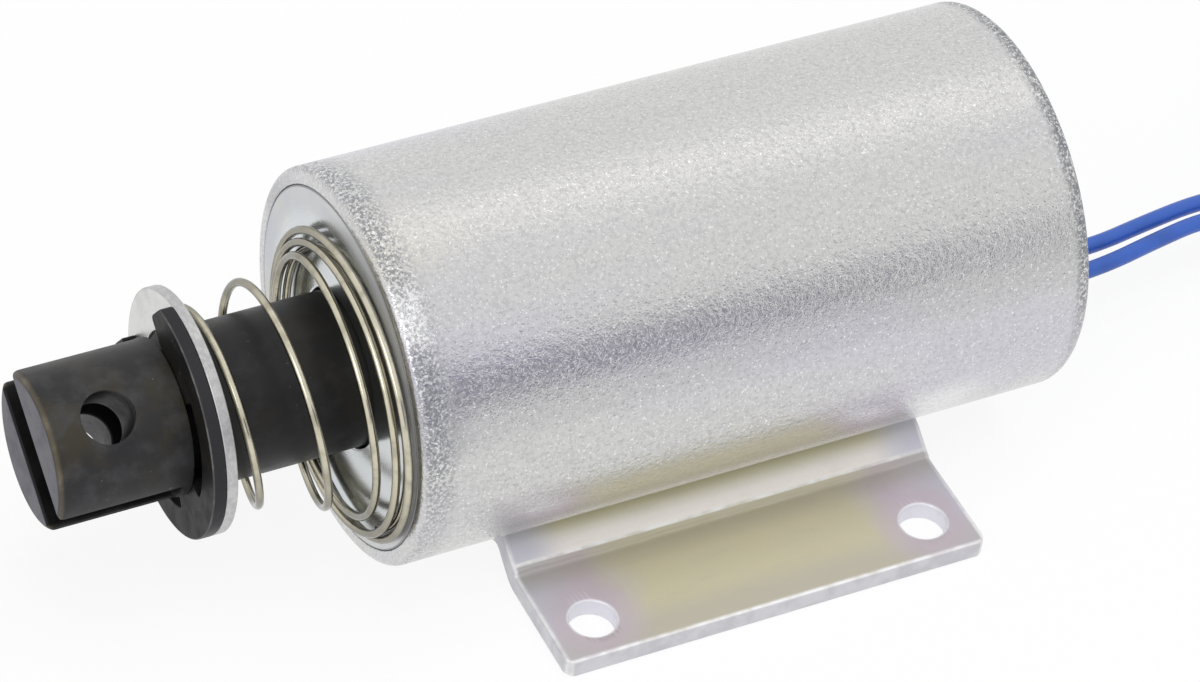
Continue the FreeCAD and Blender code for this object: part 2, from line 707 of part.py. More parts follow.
def rounded_path(points, label):
    """Straight runs between the points, joined by tangent arcs as large as their runs allow."""
    share = 0.45
    places = [Vector(*point) for point in points]
    path = []
    radii = []
    begin = places[0]
    for before, corner, after in zip(places, places[1:], places[2:]):
        arriving = corner - before
        leaving = after - corner
        shorter = min(arriving.Length, leaving.Length)
        half_turn = arriving.getAngle(leaving) / 2
        back = share * shorter
        arc_start = corner - arriving.normalize() * back
        arc_end = corner + leaving.normalize() * back
        radius = back / math.tan(half_turn)
        inward = (leaving - arriving).normalize()
        arc_middle = corner + inward * (radius / math.cos(half_turn) - radius)
        path.append(Part.LineSegment(begin, arc_start).toShape())
        path.append(Part.Arc(arc_start, arc_middle, arc_end).toShape())
        radii.append(round(radius, 1))
        begin = arc_end
    path.append(Part.LineSegment(begin, places[-1]).toShape())
    print(label, "arc radii", radii)
    return path


def lead_tube(points, label):
    """Round tube of the lead's size along a rounded path, with its volume compared."""
    path = rounded_path(points, label)
    diameter = value("lead_diameter")
    tube = round_sweep(path, Vector(*points[0]), Vector(*points[1]) - Vector(*points[0]), diameter)
    length = sum(edge.Length for edge in path)
    print(label, "length", round(length, 2), "volume share", tube.Volume / (math.pi * diameter**2 / 4 * length))
    return tube


# The leads: free tube, put-away coil, last stretch and tinned end
for number, sign in ((1, 1), (2, -1)):
    coil_height = value("lead_diameter + lead_coil_turns * lead_coil_pitch")
    coil_half = value("lead_diameter / 2 + lead_coil_slack")
    coil_radius = value("lead_coil_radius")
    centre = Vector(value("lead_coil_x"), sign * value("lead_coil_y"), 0)
    outside = Part.makeCylinder(coil_radius + coil_half, coil_height, centre)
    coil = outside.cut(Part.makeCylinder(coil_radius - coil_half, coil_height, centre))
    solid_object(f"lead_{number}_coil", coil)
    solid_object(f"lead_{number}", lead_tube(LEAD_ROUTES[number], f"lead_{number}"))
    end_x = value("lead_coil_x + lead_coil_radius")
    end_z = value("lead_diameter / 2") + 0.01
    end_points = []
    for along, away in LEAD_END_STEPS[number]:
        end_points.append((end_x + along, sign * (value("lead_coil_y") + away), end_z))
    solid_object(f"lead_{number}_end", lead_tube(end_points, f"lead_{number}_end"))
    tip = Vector(*end_points[-1])
    heading = tip - Vector(*end_points[-2])
    tinned = Part.makeCylinder(value("tinned_diameter / 2"), value("tinned_length"), tip, heading)
    solid_object(f"tinned_end_{number}", tinned)

# What is written: every body and feature that stands for a piece of the object
doc.recompute()
pieces = [item for item in doc.Objects if item.TypeId in ("PartDesign::Body", "Part::Feature")]
for item in doc.Objects:
    if {"Invalid", "Error"} & set(item.State):
        raise RuntimeError(f"{item.Name} failed: {item.State}")
for piece in pieces:
    if piece.Shape.isNull() or not piece.Shape.isValid():
        raise RuntimeError(f"{piece.Label} has no valid shape")
for piece in pieces:
    piece.Shape.exportStep(f"parts/{piece.Label}.step")
    print(piece.Label, len(piece.Shape.Solids), round(piece.Shape.Volume, 2))
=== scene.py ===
import json
import math

import bmesh
import bpy
from bpy.props import FloatProperty, FloatVectorProperty, IntProperty, PointerProperty
from mathutils import Matrix, Vector


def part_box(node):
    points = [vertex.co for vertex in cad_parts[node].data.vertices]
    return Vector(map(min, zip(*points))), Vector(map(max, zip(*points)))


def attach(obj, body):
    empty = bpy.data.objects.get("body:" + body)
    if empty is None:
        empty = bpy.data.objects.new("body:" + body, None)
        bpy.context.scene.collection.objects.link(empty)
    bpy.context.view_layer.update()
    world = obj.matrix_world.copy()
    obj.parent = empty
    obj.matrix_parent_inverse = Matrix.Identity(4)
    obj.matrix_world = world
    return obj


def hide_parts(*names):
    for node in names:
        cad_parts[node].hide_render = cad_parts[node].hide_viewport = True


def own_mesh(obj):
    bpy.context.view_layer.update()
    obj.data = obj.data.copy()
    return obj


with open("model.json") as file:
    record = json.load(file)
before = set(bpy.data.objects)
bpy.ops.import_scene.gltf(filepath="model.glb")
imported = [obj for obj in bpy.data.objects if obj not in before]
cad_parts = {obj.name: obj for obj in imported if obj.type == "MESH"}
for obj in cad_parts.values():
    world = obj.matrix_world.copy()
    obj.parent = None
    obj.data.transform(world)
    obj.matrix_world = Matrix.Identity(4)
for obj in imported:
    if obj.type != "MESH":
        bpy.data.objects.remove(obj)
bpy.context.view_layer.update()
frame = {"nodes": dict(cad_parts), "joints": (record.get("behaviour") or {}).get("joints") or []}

bl_info = {
    "name": "Tubular solenoid",
    "version": (1, 0, 0),
    "blender": (4, 5, 0),
    "location": "View3D > Sidebar > Solenoid",
    "description": "Builds the dressed pieces of a tubular pull solenoid on its frame",
    "category": "Object",
}

MM = 0.001
CASE_LOW, CASE_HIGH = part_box("case_tube")
CASE_RADIUS = (CASE_HIGH.z - CASE_LOW.z) / 2
AXIS_HEIGHT = (CASE_HIGH.z + CASE_LOW.z) / 2
FRONT = CASE_LOW.x
REAR = CASE_HIGH.x


def length_setting(name, description, default):
    """A size that a user may change, in metres."""
    return FloatProperty(name=name, description=description, default=default, unit="LENGTH", precision=5)


def angle_setting(name, description, degrees):
    """An angle that a user may change."""
    return FloatProperty(name=name, description=description, default=math.radians(degrees), unit="ROTATION")


def colour_setting(name, description, default):
    """A linear colour that a user may change."""
    return FloatVectorProperty(
        name=name, description=description, default=default, subtype="COLOR", size=3, min=0, max=1
    )


def turns_setting(name, description, default):
    """A place along the spring's wire that a user may change, in half turns."""
    return FloatProperty(name=name, description=description, default=default)


class CaseSettings(bpy.types.PropertyGroup):
    """Case tube, its rolled lips and the two end plates"""

    wall: length_setting("Wall", "Thickness of the case tube", 2.0 * MM)
    seam_radius: length_setting("Seam radius", "Radius of the line between lip and end plate", 17.3 * MM)
    seat_radius: length_setting("Seat radius", "Radius of the end plates behind the lips", 17.6 * MM)
    lip_depth: length_setting("Lip depth", "Depth of a rolled lip from the end face", 0.6 * MM)
    front_round: length_setting("Front rounding", "Outer rounding of the front lip", 1.6 * MM)
    rear_round: length_setting("Rear rounding", "Outer rounding of the rear lip", 1.3 * MM)
    seam_round: length_setting("Seam rounding", "Rounding of both sides of the seam line", 0.16 * MM)
    plate: length_setting("Plate", "Thickness of both end plates", 5.0 * MM)
    bore_round: length_setting("Bore rounding", "Rounding of the plunger bore's edge", 0.3 * MM)
    bore_radius: length_setting("Bore radius", "Radius of the plunger bore in the front plate", 7.6 * MM)
    guide_radius: length_setting("Guide seat radius", "Radius of the seat of the guide tube", 8.0 * MM)
    guide_depth: length_setting("Guide seat depth", "Distance of the guide's seat from the face", 3.2 * MM)
    spigot_radius: length_setting("Spigot radius", "Radius of the core's riveted spigot", 5.0 * MM)
    spigot_round: length_setting("Spigot rounding", "Rounding of the rear plate round the spigot", 0.15 * MM)
    bright_radius: length_setting("Bright radius", "Radius of the end plates' brighter middle", 15.0 * MM)
    zinc: colour_setting("Zinc", "Colour of the plated case", (0.63, 0.63, 0.62))
    plate_zinc: colour_setting("Plate zinc", "Colour of the smoother end plates", (0.69, 0.70, 0.71))


class PlungerSettings(bpy.types.PropertyGroup):
    """Plunger, its retaining clip and the washer behind it"""

    radius: length_setting("Radius", "Radius of the plunger", 7.45 * MM)
    end_round: length_setting("End rounding", "Rounding of the clevis end", 0.7 * MM)
    edge_round: length_setting("Edge rounding", "Rounding of the groove's edges", 0.12 * MM)
    cone_length: length_setting("Cone length", "Length of the conical inner end", 6.0 * MM)
    cone_tip_radius: length_setting("Cone tip radius", "Radius of the inner end's flat tip", 3.0 * MM)
    cone_round: length_setting("Cone rounding", "Rounding of the inner end's edges", 0.2 * MM)
    turn: angle_setting("Turn", "Turn of the clevis end about the axis", 32.5)
    slot_width: length_setting("Slot width", "Width of the clevis slot", 4.0 * MM)
    slot_depth: length_setting("Slot depth", "Depth of the clevis slot from the end", 12.3 * MM)
    slot_corner: length_setting("Slot corner", "Rounding at the bottom of the clevis slot", 0.3 * MM)
    pin_radius: length_setting("Pin hole radius", "Radius of the cross hole", 2.5 * MM)
    pin_distance: length_setting("Pin distance", "Distance of the cross hole from the end", 5.8 * MM)
    broken_edge: length_setting("Broken edge", "Bevel of the slot's and the hole's edges", 0.22 * MM)
    groove_radius: length_setting("Groove radius", "Radius at the bottom of the clip's groove", 6.0 * MM)
    groove_play: length_setting("Groove play", "Spare width of the groove over the clip", 0.1 * MM)
    groove_corner: length_setting("Groove corner", "Rounding at the groove's bottom", 0.08 * MM)
    clip_relief_radius: length_setting("Clip relief radius", "Radius of the clip between its lugs", 8.9 * MM)
    clip_mouth: length_setting("Clip mouth", "Width of the clip's mouth", 10.4 * MM)
    clip_tip_height: length_setting("Clip tip height", "Height of the clip's tips over its centre", 8.5 * MM)
    clip_turn: angle_setting("Clip turn", "Turn of the clip about the axis", 36)
    clip_tip_lug: angle_setting("Clip tip lug", "Angle from the mouth's middle to a tip lug's end", 93)
    clip_back_lug: angle_setting("Clip back lug", "Half angle of the lug opposite the mouth", 20)
    clip_corner: length_setting("Clip corner", "Rounding of the clip's corners", 0.5 * MM)
    rim_round: length_setting("Rim rounding", "Rounding of the clip's and the washer's rims", 0.14 * MM)
    washer_bore: length_setting("Washer bore", "Radius of the washer's bore", 7.65 * MM)
    black: colour_setting("Black", "Colour of the black oxide", (0.024, 0.024, 0.0255))
    washer_steel: colour_setting("Washer", "Colour of the washer", (0.70, 0.70, 0.69))


class SpringSettings(bpy.types.PropertyGroup):
    """Conical return spring; places along its wire are in half turns from the washer"""

    wire_radius: length_setting("Wire radius", "Radius of the spring wire", 0.4 * MM)
    half_turns: IntProperty(name="Half turns", description="Number of half turns", default=12, min=4)
    start: angle_setting("Start", "Direction of the wire's start about the axis", 231.1)
    small_radius: length_setting("Small radius", "Radius of the turn on the washer", 9.31 * MM)
    large_radius: length_setting("Large radius", "Radius of the turns on the end plate", 15.0 * MM)
    last_radius: length_setting("Last radius", "Radius at the end of the wire", 13.11 * MM)
    wide_from: turns_setting("Wide from", "Place where the turns start to widen", 1.28)
    wide_to: turns_setting("Wide to", "Place where the turns are widest", 9.16)
    last_from: turns_setting("Last from", "Place where the last turn starts to draw in", 9.64)
    last_to: turns_setting("Last to", "Place where the last turn is smallest", 11.1)
    open_from: turns_setting("Open from", "Place where the turns start to stand apart", 0.72)
    open_to: turns_setting("Open to", "Place where the turns lie close again", 4.9)
    open_rise: length_setting("Open rise", "Advance of the open turns", 12.88 * MM)
    closed_rise: length_setting("Closed rise", "Advance of the close turns", 1.09 * MM)
    sink_from: turns_setting("Sink from", "Place where the last turn starts to drop to the plate", 9.19)
    sink_to: turns_setting("Sink to", "Place where the last turn has dropped", 9.49)
    sink: length_setting("Sink", "Distance by which the last turn drops", 0.35 * MM)
    lean_from: turns_setting("Lean from", "Place where the turns start to lean", 0.72)
    lean_full: turns_setting("Lean full", "Place where they lean in full", 1.32)
    lean_fade: turns_setting("Lean fade", "Place where the lean starts to fade", 5.3)
    lean_end: turns_setting("Lean end", "Place where the lean is gone", 6.7)
    lean: length_setting("Lean", "Lean of the open turns", 1.26 * MM)
    tilt: length_setting("Tilt", "Tilt of the wide turns against the face", 0.05 * MM)
    sag: length_setting("Sag", "Sideways sag of the spring at its wide end", 3.23 * MM)
    sag_turn: angle_setting("Sag turn", "Direction of the sag about the axis", 172.6)
    ease: turns_setting("Ease", "Softness of the corners between its stretches", 0.35)
    nickel: colour_setting("Wire", "Colour of the spring wire", (0.62, 0.585, 0.465))


class FootSettings(bpy.types.PropertyGroup):
    """Bent foot plate under the case"""

    thickness: length_setting("Thickness", "Thickness of the foot's plate", 2.0 * MM)
    slope: angle_setting("Slope", "Angle of the foot's slopes to its flanges", 38)
    bend_width: length_setting("Bend width", "Distance between the corners of the two bends", 27.46 * MM)
    bend_radius: length_setting("Bend radius", "Middle radius between slope and flange", 2.5 * MM)
    crest_radius: length_setting("Crest radius", "Middle radius between belly and slope", 2.0 * MM)
    corner_radius: length_setting("Corner radius", "Rounding of the flange's corners", 1.2 * MM)
    edge_round: length_setting("Edge rounding", "Rounding of the sheared edges", 0.4 * MM)
    hole_radius: length_setting("Hole radius", "Radius of the bolt holes", 2.25 * MM)
    hole_long: length_setting("Long spacing", "Spacing of the bolt holes along the axis", 35.2 * MM)
    hole_cross: length_setting("Cross spacing", "Spacing of the bolt holes across the axis", 43.0 * MM)
    crease_height: length_setting("Crease height", "Height of the crease at the slope's bottom", 0.36 * MM)
    olive: colour_setting("Olive", "Chromate colour of the flange's middle", (0.645, 0.60, 0.42))
    rose: colour_setting("Rose", "Chromate colour nearer the ends", (0.60, 0.515, 0.575))
    lavender: colour_setting("Lavender", "Chromate colour at the ends", (0.62, 0.61, 0.68))


class LeadSettings(bpy.types.PropertyGroup):
    """Two leads, their bush and their tinned ends"""

    diameter: length_setting("Diameter", "Diameter over the insulation", 1.7 * MM)
    coil_x: length_setting("Coil place", "Distance of the coils behind the foot's middle", 84.0 * MM)
    coil_y: length_setting("Coil offset", "Distance of each coil's middle from the axis", 12.6 * MM)
    coil_radius: length_setting("Coil radius", "Middle radius of a coil's turns", 9.35 * MM)
    coil_turns: FloatProperty(name="Coil turns", description="Turns of a put-away coil", default=2.25)
    coil_top: length_setting("Coil top", "Height at which a coil's first turn starts", 4.8 * MM)
    end_height: length_setting("End height", "Height of a lead that lies on the floor", 0.86 * MM)
    strand_radius: length_setting("Strand radius", "Radius of one strand of the tinned end", 0.145 * MM)
    tinned_length: length_setting("Tinned length", "Length of the tinned ends", 5.0 * MM)
    bush_radius: length_setting("Bush radius", "Radius of the bush in the rear plate", 3.5 * MM)
    bush_flange_radius: length_setting("Bush flange", "Radius of the bush's flange", 4.5 * MM)
    bush_edge: length_setting("Bush edge", "Rounding of the flange's edge at the plate", 0.15 * MM)
    bush_crown: length_setting("Bush crown", "Rounding of the flange's outer edge", 0.6 * MM)
    blue: colour_setting("Blue", "Colour of the insulation", (0.036, 0.122, 0.52))
    tin: colour_setting("Tin", "Colour of the tinned strands", (0.72, 0.71, 0.68))


class StudioSettings(bpy.types.PropertyGroup):
    """Camera, lamps and backdrop"""

    azimuth: angle_setting("Azimuth", "Camera direction round the object", -30.92)
    elevation: angle_setting("Elevation", "Camera direction over the horizon", 44.14)
    roll: angle_setting("Roll", "Turn of the camera about its own axis", 7.33)
    distance: length_setting("Distance", "Camera distance from its aim", 508.16 * MM)
    aim: FloatVectorProperty(
        name="Aim", description="Point at the middle of the picture", subtype="XYZ", unit="LENGTH",
        default=(-8.349 * MM, -0.932 * MM, 16.126 * MM),
    )
    lens: FloatProperty(name="Lens", description="Focal length in millimetres", default=161.6)
    floor_size: length_setting("Floor", "Width of the floor", 6.0)
    floor_glow: FloatProperty(name="Floor glow", description="Share of the floor's own light", default=0.88)
    sky: FloatProperty(name="Sky", description="Strength of the world's soft light", default=0.52)
    overhead: FloatProperty(name="Overhead", description="Watts of the overhead softbox", default=5.0)
    side: FloatProperty(name="Side", description="Watts of the side softbox", default=1.6)
    backdrop: colour_setting("Backdrop", "Colour of floor and backdrop", (1.0, 1.0, 1.0))


SETTINGS = {
    "solenoid_case": CaseSettings,
    "solenoid_plunger": PlungerSettings,
    "solenoid_spring": SpringSettings,
    "solenoid_foot": FootSettings,
    "solenoid_leads": LeadSettings,
    "solenoid_studio": StudioSettings,
}


class Shade:
    """A socket of a material; arithmetic on it adds Math nodes."""

    def __init__(self, finish, socket):
        self.finish = finish
        self.socket = socket

    def math(self, operation, *values):
        return self.finish.node("ShaderNodeMath", {"operation": operation}, dict(enumerate(values)))

    def __add__(self, other):
        return self.math("ADD", self, other)

    __radd__ = __add__

    def __mul__(self, other):
        return self.math("MULTIPLY", self, other)

    __rmul__ = __mul__

    def __sub__(self, other):
        return self.math("SUBTRACT", self, other)

    def __rsub__(self, other):
        return self.math("SUBTRACT", other, self)

    def __truediv__(self, other):
        return self.math("DIVIDE", self, other)

    def __pow__(self, other):
        return self.math("POWER", self, other)

    def __abs__(self):
        return self.math("ABSOLUTE", self)

    def least(self, other):
        return self.math("MINIMUM", self, other)

    def most(self, other):
        return self.math("MAXIMUM", self, other)


class Finish:
    """A material, or the world, and its nodes."""

    def __init__(self, name, library=None):
        self.material = (bpy.data.materials if library is None else library).new(name)
        self.material.use_nodes = True
        self.tree = self.material.node_tree
        self.tree.nodes.clear()

    def node(self, kind, settings=None, sockets=None, output=0):
        """Adds a node, sets it up, fills or links its inputs and returns one of its outputs."""
        made = self.tree.nodes.new(kind)
        for name, setting in (settings or {}).items():
            if name == "stops":
                self.set_stops(made.color_ramp, setting)
            else:
                setattr(made, name, setting)
        for name, source in (sockets or {}).items():
            if isinstance(source, Shade):
                self.tree.links.new(source.socket, made.inputs[name])
            else:
                made.inputs[name].default_value = source
        return Shade(self, made.outputs[output]) if made.outputs else None

    def seen_share(self):
        """1 for what the camera sees, straight, mirrored or through glass, and 0 for plain light."""
        kinds = ("Is Camera Ray", "Is Glossy Ray", "Is Transmission Ray")
        seen, mirrored, through = [self.node("ShaderNodeLightPath", output=kind) for kind in kinds]
        return seen.most(mirrored).most(through)

    def set_stops(self, ramp, stops):
        while len(ramp.elements) < len(stops):
            ramp.elements.new(1.0)
        for element, (place, colour) in zip(ramp.elements, stops):
            element.position = place
            element.color = (*colour, 1.0)

    def coordinates(self):
        """Places on the piece in metres."""
        return self.node("ShaderNodeTexCoord", output="Object")

    def place_parts(self):
        """The X, Y and Z of a place on the piece, in metres."""
        split = self.node("ShaderNodeSeparateXYZ", sockets={0: self.coordinates()})
        return [Shade(self, part) for part in split.socket.node.outputs]

    def noise(self, scale, detail=2.0, roughness=0.5, stretch=(1, 1, 1)):
        """Soft noise from 0 to 1 with features of about 1 / scale metres, drawn out along the axes."""
        place = self.coordinates()
        place = self.node("ShaderNodeVectorMath", {"operation": "MULTIPLY"}, {0: place, 1: stretch})
        sockets = {"Vector": place, "Scale": scale, "Detail": detail, "Roughness": roughness}
        return self.node("ShaderNodeTexNoise", sockets=sockets)

    def spots(self, scale, start, end, detail=2.0, roughness=0.5, stretch=(1, 1, 1)):
        """Spots of 1 on 0 where noise rises from start to end."""
        return self.fade(self.noise(scale, detail, roughness, stretch), start, end)

    def fade(self, source, start, end, low=0.0, high=1.0):
        """Moves smoothly from low to high while the source goes from start to end."""
        return self.node(
            "ShaderNodeMapRange",
            {"interpolation_type": "SMOOTHSTEP"},
            {"Value": source, "From Min": start, "From Max": end, "To Min": low, "To Max": high},
        )

    def fall(self, source, start, end, high=1.0):
        """Moves smoothly from high down to 0 while the source goes from start to end."""
        return self.fade(source, start, end, high, 0.0)

    def mix(self, first, second, amount):
        """A colour between two colours."""
        settings = {"data_type": "RGBA", "clamp_factor": True}
        colours = [c if isinstance(c, Shade) else (*c, 1.0) for c in (first, second)]
        return self.node("ShaderNodeMix", settings, {0: amount, 6: colours[0], 7: colours[1]}, 2)

    def bump(self, height, depth, under=None):
        """A normal from a height of 0 to 1 that stands for a depth in metres."""
        sockets = {"Height": height, "Distance": depth, "Strength": 1.0}
        if under is not None:
            sockets["Normal"] = under
        return self.node("ShaderNodeBump", sockets=sockets)

    def surface(self, **sockets):
        """The finished surface, with sockets named in lower case."""
        filled = {}
        for name, source in sockets.items():
            label = name.replace("_", " ").title() if name != "ior" else "IOR"
            filled[label] = (*source, 1.0) if isinstance(source, tuple) else source
        shader = self.node("ShaderNodeBsdfPrincipled", sockets=filled)
        self.node("ShaderNodeOutputMaterial", sockets={"Surface": shader})
        return self.material


def axis_radius(finish):
    """Distance from the plunger axis, in metres."""
    across, up = finish.place_parts()[1:]
    up = up - AXIS_HEIGHT
    return (across * across + up * up) ** 0.5


def turning_marks(finish, scale):
    """Streaks from 0 to 1 that run round the plunger axis."""
    radius = axis_radius(finish)
    return finish.node(
        "ShaderNodeTexNoise", {"noise_dimensions": "1D"}, {"W": radius, "Scale": scale, "Detail": 3.0}
    )


SEAM_SHADOW = (0.20, 0.20, 0.21)


def seam_line(finish, shade, case):
    """Darkens the line where a rolled lip meets its end plate."""
    off_line = abs(axis_radius(finish) - case.seam_radius)
    return finish.mix(shade, SEAM_SHADOW, finish.fall(off_line, 0.05 * MM, 0.18 * MM, 0.8))


CASE_STRAW = (0.67, 0.65, 0.54)
CASE_VIOLET = (0.60, 0.585, 0.67)
CASE_REAR_LIP_SHADE = (0.25, 0.25, 0.245)
CASE_DENT = (0.44, 0.44, 0.46)
CASE_REFLECTION_SHADE = (0.36, 0.36, 0.39)
CASE_PAINTED_LIGHT = (0.90, 0.90, 0.89)
CASE_GLINT = (0.98, 0.98, 0.98)
CASE_COARSE = (0.20, 0.21, 0.24)
CASE_SPARKLE = (0.93, 0.93, 0.94)

# Heights on the case as shares of its radius over the axis, for the painted shade bands and the painted
# glint
BAND_SHADE_HEIGHT = 0.40
FRONT_SHADE_HEIGHT = 0.47
GLINT_HEIGHT = 0.82


def zinc_case_finish(case):
    """Bright zinc on a drawn tube: orange peel, grain with painted sparkle highlights, coarser grain at both
    lips, painted reflection shade, a painted glint and painted light over the foot.
    """
    finish = Finish("zinc_case")
    along, across, up = finish.place_parts()
    height = (up - AXIS_HEIGHT) / CASE_RADIUS
    from_front = along - FRONT
    from_rear = REAR - along
    past_foot = abs(along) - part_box("foot_plate")[1].x
    rim = finish.fall(from_front, 1.2 * MM, 4.4 * MM) * finish.fade(from_front, 0.05 * MM, 0.5 * MM)
    rim = rim * finish.fade(height, -0.15, 0.25, 0.5, 1.0)
    rim = rim + finish.fall(from_rear, 0.8 * MM, 2.2 * MM) * finish.fade(height, -0.2, 0.3, 0.15, 1.0)
    # Painted shade on the rear lip's rounding, darker towards the top and broken up by the dents
    rear_lip_shade = finish.fall(from_rear, 0.8 * MM, 1.9 * MM) * finish.fade(height, -0.2, 0.7, 0.3, 1.0)
    # Painted shade: a dark reflection band near the front lip, in the base colour
    front_reflection_shade = finish.fall(from_front, 2.0 * MM, 6.5 * MM) * finish.fall(abs(height - FRONT_SHADE_HEIGHT), 0.12, 0.30)
    # Painted shade: a fainter dark reflection band along the whole case
    band_reflection_shade = finish.fall(abs(height - BAND_SHADE_HEIGHT), 0.06, 0.20)
    # Painted light: the lower side over the foot is paler, to offset the foot's darker reflection
    light_over_foot = finish.fall(past_foot, -2.25 * MM, 4.75 * MM) * finish.fall(height, -0.38, -0.12)
    # Painted highlight: a glint on the front lip's rounding, on the -Y side only
    glint = finish.fall(abs(height - GLINT_HEIGHT), 0.03, 0.12) * finish.fall(across, -MM, MM)
    glint = glint * finish.fall(abs(from_front - 1.4 * MM), 0.5 * MM, 1.7 * MM)
    peel = finish.noise(1500, 3.0, 0.6)
    grain = finish.noise(5200, roughness=0.6)
    pits = finish.spots(2700, 0.56, 0.70, 1.0)
    dents = finish.spots(2300, 0.44, 0.62, roughness=0.6)
    coarse = finish.spots(2800, 0.46, 0.56, 3.0, 0.7) * rim * (1.0 - 0.35 * glint)
    # Painted highlights: bright sparkle specks over the case, and more of them on the lips
    rim_sparkle = finish.spots(3300, 0.57, 0.65, 1.0) * rim * finish.fade(height, -0.1, 0.5, 0.3, 1.0)
    sparkle = finish.spots(4200, 0.64, 0.70, 1.0)
    warm = finish.spots(38, 0.44, 0.64, stretch=(0.35, 1, 1))
    cool = finish.spots(55, 0.46, 0.66, stretch=(0.3, 1.2, 1))
    # Straw and violet clouds of the plating; their strength by height follows the top highlight and the dark
    # band, so they are partly painted reflection tint
    shade = finish.mix(tuple(case.zinc), CASE_STRAW, warm * finish.fade(height, 0.55, 0.9, 0.35, 0.9))
    shade = finish.mix(shade, CASE_VIOLET, cool * finish.fade(height, 0.75, 0.98, 0.65, 0.1))
    shade = finish.mix(shade, CASE_REAR_LIP_SHADE, rear_lip_shade * (0.35 + 0.6 * dents))
    shade = finish.mix(shade, CASE_DENT, dents * 0.36 + pits * 0.2)
    shade = finish.mix(shade, CASE_REFLECTION_SHADE, front_reflection_shade * 0.38 + band_reflection_shade * 0.2)
    shade = finish.mix(shade, CASE_PAINTED_LIGHT, light_over_foot * 0.6)
    shade = finish.mix(shade, CASE_GLINT, glint * (0.9 - 0.5 * dents))
    shade = finish.mix(shade, CASE_COARSE, coarse * 0.72)
    shade = finish.mix(shade, CASE_SPARKLE, (sparkle * 0.6).most(rim_sparkle * 0.7))
    shade = seam_line(finish, shade, case)
    rough = 0.16 + 0.12 * finish.noise(700) + 0.12 * coarse - 0.10 * sparkle
    normal = finish.bump(peel * 0.7 + grain * 0.3 - pits * 0.25, 0.085 * MM)
    normal = finish.bump(coarse, -0.05 * MM, normal)
    return finish.surface(base_color=shade, metallic=1.0, roughness=rough, normal=normal)


PLATE_BLUE = (0.56, 0.59, 0.66)
PLATE_STRAW = (0.74, 0.72, 0.64)
PLATE_MIDDLE = (0.56, 0.60, 0.61)


def zinc_plate_finish(name, case):
    """Smooth zinc on a turned plate, with faint marks round the axis and a brighter middle."""
    finish = Finish(name)
    marks = turning_marks(finish, 5000)
    cloud = finish.noise(160, 3.0)
    middle = finish.fall(axis_radius(finish) - case.bright_radius, -MM, MM)
    shade = finish.mix(tuple(case.plate_zinc), PLATE_BLUE, finish.fade(cloud, 0.42, 0.70) * 0.55)
    shade = finish.mix(shade, PLATE_STRAW, finish.spots(90, 0.5, 0.72) * 0.45)
    shade = finish.mix(shade, PLATE_MIDDLE, middle * 0.5)
    shade = seam_line(finish, shade, case)
    rough = 0.33 + 0.08 * marks + 0.08 * cloud - 0.25 * middle
    normal = finish.bump(marks * 0.6 + finish.noise(4200) * 0.4, 0.010 * MM)
    return finish.surface(base_color=shade, metallic=0.45 + 0.55 * middle, roughness=rough, normal=normal)


WASHER_DULL = (0.44, 0.44, 0.44)
WASHER_RIM = (0.47, 0.47, 0.475)
WASHER_RIM_PALE = (0.56, 0.56, 0.56)


def washer_finish(colour, radius):
    """Steel washer with a satin skin, streaks round its bore and a duller rim."""
    finish = Finish("washer_satin")
    marks = turning_marks(finish, 3600)
    band_reflection_shade = finish.spots(230, 0.45, 0.70, 3.0)
    streaks = finish.spots(1500, 0.40, 0.65, 2.0, 0.6, (1.5, 1, 1))
    rim = finish.fade(axis_radius(finish), radius - 0.25 * MM, radius - 0.08 * MM)
    shade = finish.mix(colour, WASHER_DULL, band_reflection_shade * 0.35 + marks * 0.15)
    shade = finish.mix(shade, finish.mix(WASHER_RIM, WASHER_RIM_PALE, streaks), rim)
    rough = 0.30 + 0.12 * marks + 0.08 * band_reflection_shade
    normal = finish.bump(marks * 0.5 + finish.noise(3600) * 0.5, 0.012 * MM)
    return finish.surface(base_color=shade, metallic=1.0, roughness=rough, normal=normal)


CHROMATE_TAN = (0.63, 0.585, 0.50)
CHROMATE_SIDE = (0.50, 0.47, 0.42)
HOLE_EDGE = (0.84, 0.83, 0.89)
BEND_SHADOW = (0.44, 0.405, 0.32)
SLOPE_OLIVE = (0.63, 0.605, 0.40)
SLOPE_CREAM_AND_LIGHT = (0.95, 0.90, 0.85)
SLOPE_END = (0.58, 0.59, 0.72)
LEDGE_HIGHLIGHT = (0.97, 0.97, 0.96)
STREAK_GREY = (0.40, 0.39, 0.40)
RIM_HIGHLIGHT = (0.90, 0.90, 0.92)
SHEARED_DARK = (0.47, 0.465, 0.51)
SHEARED_PALE = (0.62, 0.615, 0.65)


